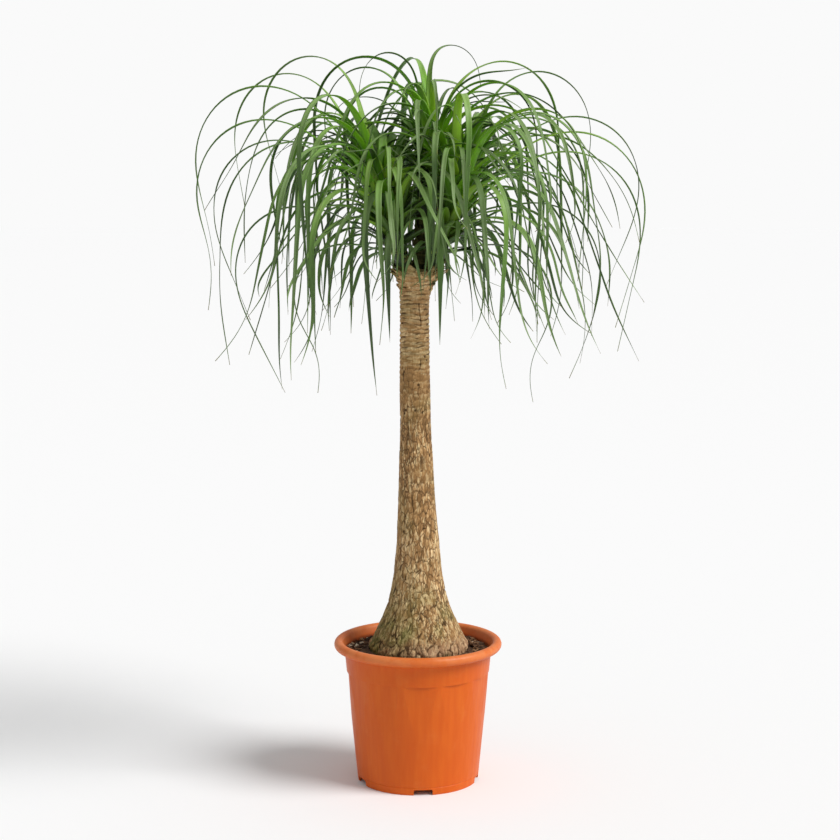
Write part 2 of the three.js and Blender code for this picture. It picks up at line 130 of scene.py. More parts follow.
def bumpOn(tree, height, strength, distance, invert=False, **more):
    inputs = {"Height": height, "Strength": strength, "Distance": distance, **more}
    return addNode(tree, "ShaderNodeBump", {"invert": invert}, inputs).outputs[0]


def remap(tree, value, low, high, toLow=0.0, toHigh=1.0):  # clamped, with soft ends
    inputs = {"Value": value, "From Min": low, "From Max": high, "To Min": toLow, "To Max": toHigh}
    node = addNode(tree, "ShaderNodeMapRange", {"interpolation_type": "SMOOTHSTEP"}, inputs)
    return node.outputs["Result"]


def deselectAll():
    if bpy.context.object and bpy.context.object.mode != "OBJECT":
        bpy.ops.object.mode_set(mode="OBJECT")
    bpy.ops.object.select_all(action="DESELECT")


def pick(piece):
    deselectAll()
    piece.select_set(True)
    bpy.context.view_layer.objects.active = piece


def editWhole(piece):  # edit mode, with all of it selected
    pick(piece)
    bpy.ops.object.mode_set(mode="EDIT")
    bpy.ops.mesh.select_all(action="SELECT")


def applyModifier(piece, kind, **settings):
    pick(piece)
    modifier = piece.modifiers.new(kind.title(), kind)
    for name, value in settings.items():
        setattr(modifier, name, value)
    bpy.ops.object.modifier_apply(modifier=modifier.name)


def settle(piece):  # its place goes into its mesh
    pick(piece)
    bpy.ops.object.transform_apply(location=True, rotation=True, scale=True)


def joinPieces(pieces, name):
    deselectAll()
    for piece in pieces:
        piece.select_set(True)
    bpy.context.view_layer.objects.active = pieces[0]
    bpy.ops.object.join()
    pieces[0].name = name
    pieces[0].data.name = name
    return pieces[0]


def smooth(piece, angle):
    pick(piece)
    bpy.ops.object.shade_smooth_by_angle(angle=math.radians(angle))


def riseRings(name, outline, sides):  # a closed round shell through (radius, height) points
    deselectAll()
    radius, height = outline[0]
    bpy.ops.mesh.primitive_circle_add(vertices=sides, radius=radius * mm, location=(0, 0, height * mm))
    piece = bpy.context.object
    piece.name = name
    settle(piece)
    bpy.ops.object.mode_set(mode="EDIT")
    bpy.ops.mesh.select_mode(type="EDGE")
    bpy.ops.mesh.select_all(action="SELECT")
    for nextRadius, nextHeight in outline[1:]:
        rise = (nextHeight - height) * mm
        bpy.ops.mesh.extrude_edges_move(TRANSFORM_OT_translate={"value": (0, 0, rise)})
        grow = nextRadius / radius
        bpy.ops.transform.resize(value=(grow, grow, 1), center_override=(0, 0, nextHeight * mm))
        radius, height = nextRadius, nextHeight
    bpy.ops.mesh.select_all(action="SELECT")
    bpy.ops.mesh.fill_holes(sides=0)
    bpy.ops.mesh.select_all(action="SELECT")
    bpy.ops.mesh.normals_make_consistent(inside=False)
    bpy.ops.object.mode_set(mode="OBJECT")
    return piece


def cutWith(piece, cutters):  # takes the joined cutters out of a piece
    cutter = joinPieces(cutters, "cutter")
    applyModifier(piece, "BOOLEAN", object=cutter, operation="DIFFERENCE", solver="EXACT")
    bpy.data.objects.remove(cutter)


def copyAt(piece, matrix):  # a copy with a mesh of its own
    copy = piece.copy()
    copy.data = piece.data.copy()
    copy.matrix_world = matrix
    bpy.context.scene.collection.objects.link(copy)
    return copy


def meshPiece(name, coords, faces):
    mesh = bpy.data.meshes.new(name)
    mesh.from_pydata(np.asarray(coords).tolist(), [], faces)
    mesh.validate()
    piece = bpy.data.objects.new(name, mesh)
    bpy.context.scene.collection.objects.link(piece)
    mesh.shade_smooth()
    return piece


def tubeFaces(steps, sides):  # between rings of points, with a cap on both ends
    faces = []
    for j in range(steps):
        for i in range(sides):
            m = (i + 1) % sides
            faces.append((j * sides + i, j * sides + m, (j + 1) * sides + m, (j + 1) * sides + i))
    faces.append(tuple(range(sides - 1, -1, -1)))
    faces.append(tuple(steps * sides + i for i in range(sides)))
    return faces


def coordsOf(piece):
    coords = np.zeros(len(piece.data.vertices) * 3)
    piece.data.vertices.foreach_get("co", coords)
    return coords.reshape(-1, 3)


def setCoords(piece, coords):
    piece.data.vertices.foreach_set("co", np.asarray(coords, float).ravel())
    piece.data.update()


def storeColour(piece, name, values):  # rows of three numbers, one for each point
    attribute = piece.data.color_attributes.new(name, "FLOAT_COLOR", "POINT")
    rows = np.ones((len(piece.data.vertices), 4))
    rows[:, :3] = values
    attribute.data.foreach_set("color", rows.ravel())


def ease(x):
    x = np.clip(x, 0.0, 1.0)
    return x * x * (3 - 2 * x)


def lumps(points, size, salt=0.0):  # smooth noise from about -1 to 1, with lumps of that size
    shift = Vector((salt, salt * 1.7, -salt))
    return np.array([noise.noise(Vector(p) / size + shift) for p in points])


def draws(seed):  # the part's own generator, which gives the same draws on every run
    state = [seed]

    def nextDraw(low=0.0, high=1.0):
        state[0] = (state[0] * 48271) % 2147483647
        return low + (high - low) * state[0] / 2147483647
    return nextDraw


# camera and light

studio = {
    "camera": (0.00338, -2.84299, 0.930285),
    "lookDown": 6.928,
    "lens": 77.14,
    "floorRadius": 60.0,
    "backdrop": "#FAFAFA",
    "skyLight": 0.45,
    "keyPower": 2.75,
    "keyAzimuth": 67.0,
    "keyHeight": 44.0,
    "keySpread": 30.0,
}


def makeStudio():
    scene = bpy.context.scene
    scene.view_settings.view_transform = "Standard"
    camera = bpy.data.objects.new("camera", bpy.data.cameras.new("camera"))
    scene.collection.objects.link(camera)
    camera.location = studio["camera"]
    camera.rotation_euler = (math.radians(90 - studio["lookDown"]), 0, 0)
    camera.data.lens = studio["lens"]
    camera.data.clip_end = 200
    scene.camera = camera

    # an even white sky behind the plant, dimmer as a light so that the key shapes the forms
    world = bpy.data.worlds.new("white studio")
    world.use_nodes = True
    scene.world = world
    tree = world.node_tree
    tree.nodes.clear()
    ray = addNode(tree, "ShaderNodeLightPath")
    seen = addNode(tree, "ShaderNodeBackground", {}, {"Color": linear(studio["backdrop"]), "Strength": 1.0})
    lit = addNode(tree, "ShaderNodeBackground", {},
                  {"Color": linear("#FFFFFF"), "Strength": studio["skyLight"]})
    both = addNode(tree, "ShaderNodeMixShader", {},
                   {0: ray.outputs["Is Camera Ray"], 1: lit.outputs[0], 2: seen.outputs[0]})
    addNode(tree, "ShaderNodeOutputWorld", {}, {"Surface": both.outputs[0]})

    # a wide soft key from the right and the front
    key = bpy.data.objects.new("key light", bpy.data.lights.new("key light", "SUN"))
    scene.collection.objects.link(key)
    key.data.energy = studio["keyPower"]
    key.data.angle = math.radians(studio["keySpread"])
    azimuth = math.radians(studio["keyAzimuth"])
    height = math.radians(studio["keyHeight"])
    towards = Vector((math.sin(azimuth) * math.cos(height), -math.cos(azimuth) * math.cos(height),
                      math.sin(height)))
    key.rotation_euler = towards.to_track_quat("Z", "Y").to_euler()

    # painted studio floor: matt, pale and even
    deselectAll()
    bpy.ops.mesh.primitive_circle_add(vertices=96, radius=studio["floorRadius"], fill_type="NGON")
    floor = bpy.context.object
    floor.name = "floor"
    paint, tree, shader, _ = newMaterial("matt white studio paint")
    setInputs(tree, shader, {"Base Color": linear("#F6F6F6"), "Roughness": 0.9, "Specular IOR Level": 0.1})
    floor.data.materials.append(paint)
    print("studio: camera, sky, key light and floor")


makeStudio()


# pot

pot = {
    "rimRing": 127.3,
    "rimRoll": 7.7,
    "neckRadius": 118.5,
    "footRadius": 97.7,
    "wall": 3.2,
    "floorUnder": 10.0,
    "floorThick": 3.5,
    "sides": 180,
    "panels": 12,
    "panelBottom": 100.0,
    "panelLedge": 179.0,
    "panelDepth": 3.0,
    "panelTurn": -88.0,
    "boxSize": (30, 80),  # what presses a flat: depth and width
    "notches": 5,
    "notchWidth": 30.0,
    "notchHeight": 9.0,
    "notchTurn": -85.0,
    "notchRound": 2.2,
    "drains": 6,
    "drainRadius": 6.0,
    "drainRing": 58.0,
    "lineHeight": 12.0,
    "lineDepth": 0.45,
    "bevel": 0.45,
}
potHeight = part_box("pot")[1].z / mm
rimCentre = potHeight - pot["rimRoll"]
wallTop = rimCentre - pot["rimRoll"]
wallSlope = (pot["neckRadius"] - pot["footRadius"]) / wallTop


def wallRadius(z):
    return pot["footRadius"] + wallSlope * z


def insideRadius(z):
    return wallRadius(z) - pot["wall"]


def plasticMaterial():
    # Polypropylene, injection moulded and coloured through: satin, with long faint flow streaks, a fine
    # pebble from the mould, dust where pots are nested and carried, and a painted highlight on the roll of
    # the rim, patchy like rubbed spots.
    material, tree, shader, place = newMaterial("moulded polypropylene")
    # flow streaks: about 9 mm wide round the wall and ten times as long up it
    flow = stretched(tree, place, (110, 110, 9))
    streaks = noiseOn(tree, flow, Detail=4.0, Roughness=0.55)
    colour = colourRamp(tree, streaks, [(0.3, "#CD580C"), (0.5, "#D05C0E"), (0.7, "#D46212")])
    # cloudy dust, 30 mm across
    clouds = noiseOn(tree, place, 33.0, Detail=6.0, Roughness=0.62)
    colour = mixColour(tree, remap(tree, clouds, 0.52, 0.78, 0.0, 0.12), colour, "#DE8E4C")
    # the roll of the rim is painted paler towards its top: a painted highlight, patchy like rubbed wear
    height = upOf(tree, place)
    rimHighlight = remap(tree, height, 212 * mm, 226 * mm, 0.0, 0.42)
    highlightAndRubbing = times(tree, rimHighlight, remap(tree, clouds, 0.35, 0.6, 0.45, 1.0))
    colour = mixColour(tree, highlightAndRubbing, colour, "#E79C66")
    # painted shade on the inside wall, darkest just above the soil, patchy like soil smears
    inside = remap(tree, fromAxis(tree, place), 117.4 * mm, 115.8 * mm)
    above = remap(tree, height, 200 * mm, 206 * mm)
    below = remap(tree, height, 224 * mm, 210 * mm, 0.2, 0.9)
    insideShade = times(tree, inside, times(tree, above, below))
    shadeAndSmear = times(tree, insideShade, remap(tree, clouds, 0.3, 0.62, 0.35, 1.0))
    colour = mixColour(tree, shadeAndSmear, colour, "#6E3A20")
    # rubbed marks show in the gloss, and mould pebble is drawn at 1.2 mm so that it still shows
    marks = noiseOn(tree, flow, 3.1, Detail=3.0)
    pebble = bumpOn(tree, noiseOn(tree, place, 830.0, Detail=2.0), 0.08, 0.3 * mm)
    setInputs(tree, shader, {
        "Base Color": colour,
        "Roughness": remap(tree, marks, 0.35, 0.7, 0.38, 0.5),
        "Normal": bumpOn(tree, streaks, 0.12, 0.8 * mm, Normal=pebble),
        "Specular IOR Level": 0.25,
        "IOR": 1.49,
        "Subsurface Weight": 0.05,
        "Subsurface Radius": (1.0, 0.35, 0.12),
        "Subsurface Scale": 4 * mm,
    })
    return material


def potOutline():  # from the middle of the underside, up the outside, over the rim and down the inside
    under = pot["floorUnder"]
    floorTop = under + pot["floorThick"]
    line = pot["lineHeight"]
    deep = pot["lineDepth"]
    points = [(14, under), (insideRadius(under) - 1.5, under), (insideRadius(under), under - 1.2),
              (insideRadius(0) + 0.3, 0.7), (insideRadius(0) + 1.0, 0)]
    points += [(pot["footRadius"] - 0.8, 0), (pot["footRadius"], 0.8)]
    points += [(wallRadius(line - 0.7), line - 0.7), (wallRadius(line) - deep, line - 0.2),
               (wallRadius(line) - deep, line + 0.5), (wallRadius(line + 1.2), line + 1.2)]
    points += [(wallRadius(z), z) for z in range(24, int(wallTop) - 4, 12)]
    points += [(wallRadius(wallTop - 2.5), wallTop - 2.5), (wallRadius(wallTop) + 0.25, wallTop - 0.6)]
    for a in range(-74, 173, 9):
        turn = math.radians(a)
        points.append((pot["rimRing"] + pot["rimRoll"] * math.cos(turn),
                       rimCentre + pot["rimRoll"] * math.sin(turn)))
    points += [(insideRadius(wallTop) + 2.2, rimCentre - 3.5), (insideRadius(wallTop) + 0.4, wallTop - 1.5)]
    points += [(insideRadius(z), z) for z in range(int(wallTop) - 8, int(floorTop) + 8, -18)]
    points += [(insideRadius(floorTop) - 0.2, floorTop + 2.5), (insideRadius(floorTop) - 2.5, floorTop)]
    points += [(14, floorTop)]
    return points


def aroundPot(shape, count, first, place):  # copies of a cutter evenly round the axis, in place of it
    copies = []
    for i in range(count):
        turn = Matrix.Rotation(math.radians(first + 360 / count * i), 4, "Z")
        copies.append(copyAt(shape, turn @ place))
    bpy.data.objects.remove(shape)
    for copy in copies:
        settle(copy)
    return copies


def makePot():
    piece = riseRings("nursery_pot", potOutline(), pot["sides"])
    # flats pressed into the wall: a box leans in from the wall's surface up to the ledge
    bottom, ledge = pot["panelBottom"], pot["panelLedge"]
    tall = ledge - bottom
    lean = math.atan2(wallRadius(bottom) - (wallRadius(ledge) - pot["panelDepth"]), tall)
    deselectAll()
    deep, wide = pot["boxSize"]
    bpy.ops.mesh.primitive_cube_add(size=1, scale=(deep * mm, wide * mm, 2 * tall * mm))
    box = bpy.context.object
    settle(box)
    editWhole(box)
    bpy.ops.transform.translate(value=(deep / 2 * mm, 0, tall * mm))  # inner face on the axis, foot at zero
    bpy.ops.object.mode_set(mode="OBJECT")
    place = Matrix.Translation((wallRadius(bottom) * mm, 0, bottom * mm)) @ Matrix.Rotation(-lean, 4, "Y")
    cutters = aroundPot(box, pot["panels"], pot["panelTurn"], place)
    # the boxes end level with the ledge
    for cutter in cutters:
        editWhole(cutter)
        bpy.ops.mesh.bisect(plane_co=(0, 0, ledge * mm), plane_no=(0, 0, 1), use_fill=True, clear_outer=True)
        bpy.ops.object.mode_set(mode="OBJECT")
    cutWith(piece, cutters)

    # notches under the foot, which let water out
    deselectAll()
    size = (40 * mm, pot["notchWidth"] * mm, 2 * pot["notchHeight"] * mm)
    bpy.ops.mesh.primitive_cube_add(size=1)
    place = Matrix.Translation((pot["footRadius"] * mm, 0, 0)) @ Matrix.Diagonal((*size, 1))
    cutters = aroundPot(bpy.context.object, pot["notches"], pot["notchTurn"], place)
    for cutter in cutters:
        applyModifier(cutter, "BEVEL", width=pot["notchRound"] * mm, segments=3, limit_method="ANGLE")
    cutWith(piece, cutters)

    # drain holes through the floor
    deselectAll()
    bpy.ops.mesh.primitive_cylinder_add(vertices=24, radius=pot["drainRadius"] * mm, depth=40 * mm)
    hole = bpy.context.object
    ring = pot["drainRing"] * mm
    cutters = []
    for i in range(pot["drains"]):
        turn = 2 * math.pi * i / pot["drains"]
        spot = (ring * math.cos(turn), ring * math.sin(turn), 12 * mm)
        cutters.append(copyAt(hole, Matrix.Translation(spot)))
        settle(cutters[-1])
    bpy.data.objects.remove(hole)
    cutWith(piece, cutters)

    applyModifier(piece, "BEVEL", width=pot["bevel"] * mm, segments=2, limit_method="ANGLE",
                  angle_limit=math.radians(40))
    smooth(piece, 14)
    piece.data.materials.append(plasticMaterial())
    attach(piece, "root")
    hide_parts("pot")
    print("pot:", len(piece.data.polygons), "faces")


makePot()

# stem

stem = {
    "outline": [
        (78.5, 220), (74.5, 231), (68, 246), (60, 263), (52.5, 280), (46.5, 297), (42, 318), (38.5, 342),
        (35.3, 375), (32.4, 415), (30, 456), (27.6, 500), (25.2, 552), (24.4, 617), (23.6, 681), (23.3, 728),
        (23.2, 776), (25.6, 797), (33.5, 809), (38.5, 816),
    ],
    "under": [(30, 142), (52, 152), (69, 172), (77, 194), (79.8, 210)],
    "dome": [(35, 821), (20, 825)],
    "bottom": 138.0,
    "top": 826.0,
    "swayLow": 1.0,
    "swayHigh": -5.0,
    "swayHead": 0.0,
    "wideSides": 288,  # round the swollen base
    "slimSides": 144,  # further up
    "join": 300.0,
    "step": 1.7,
    "pits": 46,
    "pitAt": (260, 790),
    "pitWide": (1.6, 3.6),
    "pitTall": (1.4, 2.8),
    "splits": 9,
    "splitAt": (420, 770),
    "splitLong": (20, 60),
    "soilLine": 221.0,
    "lobeDeep": 2.4,
    "lobes": 23,
    "reliefFrom": 206.0,  # the relief fades out under the soil and at the top
    "reliefTo": 812.0,
    "seed": 77,
}

# The corky cells, from the base up: where a zone is full, cells round the stem, height of a
# cell, how far cells stray from their rows (round, up), squareness, depth and width of the
# cracks, and how dark they are. The last zone is rings of leaf scars instead.
barkZones = [
    {"at": 228, "round": 68, "tall": 18.0, "stray": (0.9, 1.0),
     "power": 1.6, "deep": 2.2, "crack": 0.32, "dark": 0.9},
    {"at": 290, "round": 48, "tall": 21.0, "stray": (0.9, 1.0),
     "power": 1.7, "deep": 1.9, "crack": 0.30, "dark": 0.85},
    {"at": 385, "round": 30, "tall": 26.0, "stray": (0.9, 1.0),
     "power": 2.2, "deep": 1.4, "crack": 0.22, "dark": 0.72},
    {"at": 505, "round": 24, "tall": 16.0, "stray": (0.85, 0.95),
     "power": 3.0, "deep": 1.1, "crack": 0.22, "dark": 0.7},
    {"at": 620, "round": 18, "tall": 9.5, "stray": (0.95, 0.6),
     "power": 4.0, "deep": 1.0, "crack": 0.26, "dark": 0.65},
    {"at": 720, "tall": 7.4, "deep": 1.7, "dark": 0.72, "power": 9},
]


def swayAt(z):
    low, high, head = stem["swayLow"], stem["swayHigh"], stem["swayHead"]
    return low + (high - low) * ease((z - 230) / 470) + (head - high) * ease((z - 775) / 40)


def hashAt(i, j, salt):  # a repeatable draw from 0 to 1 for each pair of whole numbers
    n = (i.astype(np.int64) * 374761393 + j.astype(np.int64) * 668265263 + salt * 40503) & 0xFFFFFFFF
    n = ((n ^ (n >> 13)) * 1274126177) & 0xFFFFFFFF
    return ((n ^ (n >> 16)) & 0xFFFFFFFF) / 4294967296


def corkCells(angle, height, zone, salt):
    # Nearest and second nearest middle of a cell: gives the way to the crack between them, a
    # draw for each cell, and where in its cell a point lies, across and up.
    count = zone["round"]
    x = angle / (2 * math.pi) * count
    y = height / zone["tall"]
    column, row = np.floor(x), np.floor(y)
    near = np.full(x.shape, 9.0)
    second = np.full(x.shape, 9.0)
    tone, across, rise = (np.zeros(x.shape) for _ in range(3))
    for stepUp in (-1, 0, 1):
        for stepRound in (-1, 0, 1):
            i, j = column + stepRound, row + stepUp
            wrapped = np.mod(i, count)
            middleX = i + 0.5 + zone["stray"][0] * (hashAt(wrapped, j, salt) - 0.5)
            middleY = j + 0.5 + zone["stray"][1] * (hashAt(wrapped, j, salt + 1) - 0.5)
            lean = 0.9 * (hashAt(wrapped, j, salt + 3) - 0.5) * (zone["power"] < 3)
            offX, offY = x - middleX - lean * (y - middleY), y - middleY
            power = zone["power"]
            far = (np.abs(offX) ** power + np.abs(offY) ** power) ** (1 / power)
            closer = far < near
            second = np.where(closer, near, np.minimum(second, far))
            tone = np.where(closer, hashAt(wrapped, j, salt + 2), tone)
            across = np.where(closer, offX, across)
            rise = np.where(closer, offY, rise)
            near = np.where(closer, far, near)
    return second - near, tone, across, rise


def scarRings(slope, zone, points):  # rings that wander, swell and break off: height, draw and rise
    shift = 0.55 * lumps(points, 34, 12.1) + 0.22 * lumps(points, 9, 3.3)
    place = slope / zone["tall"] + shift
    ring = np.floor(place)
    rise = place - ring - 0.5
    draw = hashAt(ring, np.floor(3 * lumps(points, 24, 6.1)), stem["seed"])
    thick = 0.32 + 0.16 * lumps(points, 12, 2.7)
    raised = ease((thick + 0.12 - np.abs(rise)) / 0.26)
    fade = np.clip(0.75 + 0.9 * lumps(points, 12, 9.1), 0.25, 1.0)
    return 1 - fade * (1 - raised), draw, rise


def barkOn(angle, z, slope, points):
    # Relief in mm, and the height in its cell and the tone for each point; slope is the way up the bark.
    bend = 1.4 * lumps(points, 55, 3.1) + 0.6 * lumps(points, 17, 8.4) + 0.6 * lumps(points, 6, 1.9)
    worn = np.clip(0.72 + 0.9 * lumps(points, 12, 7.7), 0.15, 1.0)  # cracks come and go
    fleck = lumps(points, 3.2, 4.4)
    relief, plate, tone = (np.zeros(z.shape) for _ in range(3))
    places = [zone["at"] for zone in barkZones]
    patch = z + 45 * lumps(points, 40, 5.5)
    begun = [1.0] + [ease((patch - a) / (b - a) * 2 - 0.5) for a, b in zip(places, places[1:])] + [0.0]
    for k, zone in enumerate(barkZones):
        share = begun[k] - begun[k + 1]
        if zone["power"] > 8:
            raised, draw, rise = scarRings(slope, zone, points)
            lift = zone["deep"] * (raised * (0.75 + 0.25 * draw) - 0.8 - 0.35 * rise)
            shade = 0.5 + 0.35 * draw + 0.5 * rise + 0.25 * fleck
            split = 1.0
        else:
            turned = angle + 0.12 * bend * (22 / zone["round"]) * (1 if zone["power"] < 3 else 0.4)
            salt = 11 * k + stem["seed"]
            edge, draw, across, rise = corkCells(turned, slope + 2.2 * bend, zone, salt)
            raised = 1 - worn * (1 - ease(edge / zone["crack"]))
            finer = dict(zone, round=2 * zone["round"] + 1, tall=0.55 * zone["tall"])
            fineEdge, fineDraw, _, _ = corkCells(turned + 0.4, slope + 1.1 * bend, finer, salt + 5)
            split = 1 - (1.0 - 0.7 * worn) * (1 - ease(fineEdge / 0.24))
            ridge = np.exp(-(across / 0.24) ** 2) * ease((draw - 0.3) / 0.3) * (zone["power"] < 3)
            lift = zone["deep"] * (raised * (0.55 + 0.25 * draw + 0.3 * ridge) - 0.9 + 0.3 * (split - 1))
            upper = 0.0 if zone["power"] < 3 else 0.3 * np.clip(2 * rise, -1, 1)
            # the pale crest on ridged cells is partly paler cork and partly a painted highlight, besides the
            # ridge in the relief
            shade = 0.5 * draw + 0.15 * fineDraw + 0.5 * ridge * draw + upper + 0.3 * fleck + 0.08
        relief += share * lift
        plate += share * (1 - zone["dark"] * (1 - raised)) * (0.6 + 0.4 * split)
        tone += share * np.clip(shade, 0, 1)
    return relief, plate, tone


def pitsOn(angles, levels, sizes):  # dark pits where old leaves rotted out
    draw = draws(stem["seed"])
    pits = np.zeros(len(angles))
    for _ in range(stem["pits"]):
        pitAngle, pitZ = draw(0, 2 * math.pi), draw(*stem["pitAt"])
        wide, tall = draw(*stem["pitWide"]), draw(*stem["pitTall"])
        away = np.mod(angles - pitAngle + math.pi, 2 * math.pi) - math.pi
        pits = np.maximum(pits, np.exp(-(away * sizes / wide) ** 2 - ((levels - pitZ) / tall) ** 2))
    # a few long splits run up the stem
    for _ in range(stem["splits"]):
        splitAngle, splitZ = draw(0, 2 * math.pi), draw(*stem["splitAt"])
        long = draw(*stem["splitLong"])
        away = np.mod(angles - splitAngle + math.pi, 2 * math.pi) - math.pi
        wander = away * sizes + 1.6 * np.sin(levels / 9.0 + splitAngle * 7)
        inside = ease((long / 2 - np.abs(levels - splitZ)) / 8)
        pits = np.maximum(pits, 0.85 * inside * np.exp(-(wander / 0.9) ** 2))
    return pits


def shellFaces(rows, starts, middle):  # between rings that may halve, and round the middle of each end
    faces = []
    for k in range(len(rows) - 1):
        sides, nextSides = rows[k][2], rows[k + 1][2]
        a, b = starts[k], starts[k + 1]
        if sides == nextSides:
            for i in range(sides):
                j = (i + 1) % sides
                faces.append((a + i, a + j, b + j, b + i))
        else:  # two faces' width below meets one above
            for i in range(nextSides):
                j = (i + 1) % nextSides
                faces.append((a + 2 * i, a + 2 * i + 1, b + i))
                faces.append((a + 2 * i + 1, a + (2 * i + 2) % sides, b + j, b + i))
    wide, slim = rows[0][2], rows[-1][2]
    faces += [(middle, (i + 1) % wide, i) for i in range(wide)]
    last = starts[-1]
    faces += [(middle + 1, last + i, last + (i + 1) % slim) for i in range(slim)]
    return faces


def makeBarkShell():
    outline = stem["outline"]
    heights = [z for _, z in outline]
    radii = [r for r, _ in outline]
    # smooth the outline a little, so that no ring shows where its points are
    fineZ = np.arange(heights[0], heights[-1] + 0.01, 1.0)
    fineR = np.interp(fineZ, heights, radii)
    padded = np.concatenate([np.full(8, fineR[0]) + np.linspace(2.4, 0.3, 8), fineR, np.full(8, fineR[-1])])
    fineR = np.convolve(padded, np.ones(17) / 17, mode="valid")
    steep = np.concatenate([[0], np.cumsum(np.hypot(1.0, np.diff(fineR)))])
    steep += heights[0]

    below = stem["under"]
    rows = [(z, r, stem["wideSides"]) for r, z in below]
    z = below[-1][1] + 3.0
    while z < stem["outline"][-1][1]:
        sides = stem["wideSides"] if z < stem["join"] else stem["slimSides"]
        rows.append((z, float(np.interp(z, fineZ, fineR)), sides))
        tilt = abs(np.interp(z + 1, fineZ, fineR) - np.interp(z, fineZ, fineR))
        z += stem["step"] / math.hypot(1.0, tilt)
    rows += [(z, r, stem["slimSides"]) for r, z in stem["dome"]]

    angles, levels, sizes, starts = [], [], [], []
    for level, radius, sides in rows:
        starts.append(len(angles))
        angles += [2 * math.pi * i / sides for i in range(sides)]
        levels += [level] * sides
        sizes += [radius] * sides
    angles, levels, sizes = np.array(angles), np.array(levels), np.array(sizes)
    points = np.column_stack([sizes * np.cos(angles), sizes * np.sin(angles), levels])
    relief, plate, tone = barkOn(angles, levels, np.interp(levels, fineZ, steep), points)
    shown = ease((levels - stem["reliefFrom"]) / 8) * (1 - ease((levels - stem["reliefTo"]) / 6))

    # rounded root lobes where the base meets the soil
    lobed = 0.4 + np.cos(stem["lobes"] * angles + 5 * lumps(points, 30, 2.2))
    lobes = stem["lobeDeep"] * np.exp(-((levels - stem["soilLine"]) / 7.0) ** 2) * lobed
    pits = pitsOn(angles, levels, sizes)
    lean = 1.1 * lumps(points, 60, 9.7)
    radius = sizes + shown * (relief + lobes - 1.8 * pits + lean)
    coords = np.column_stack([radius * np.cos(angles) + swayAt(levels), radius * np.sin(angles), levels])

    middle = len(coords)
    ends = [(swayAt(stem["bottom"]), 0, stem["bottom"]), (swayAt(stem["top"]), 0, stem["top"])]
    coords = np.vstack([coords, ends])
    faces = shellFaces(rows, starts, middle)
    plate = np.clip(plate * (1 - 0.95 * pits), 0, 1)
    moss = mossOn(angles, levels, points)
    piece = meshPiece("bark", coords * mm, faces)
    storeColour(piece, "bark", np.vstack([np.column_stack([plate, tone, moss]), [[0, 0, 0], [0, 0, 0]]]))
    return piece


def mossOn(angle, z, points):  # thickest low on the left, with thin patches elsewhere
    left = np.exp(-((np.mod(angle - math.radians(212) + math.pi, 2 * math.pi) - math.pi) / 0.75) ** 2)
    low = 1 - ease((z - 252) / 80)
    patches = ease((lumps(points, 38, 6.6) - 0.05) / 0.4)
    growth = left * low * (0.75 + 0.5 * lumps(points, 14, 1.2))
    return np.clip(growth + 0.55 * patches * (0.35 + 0.65 * low), 0, 1)


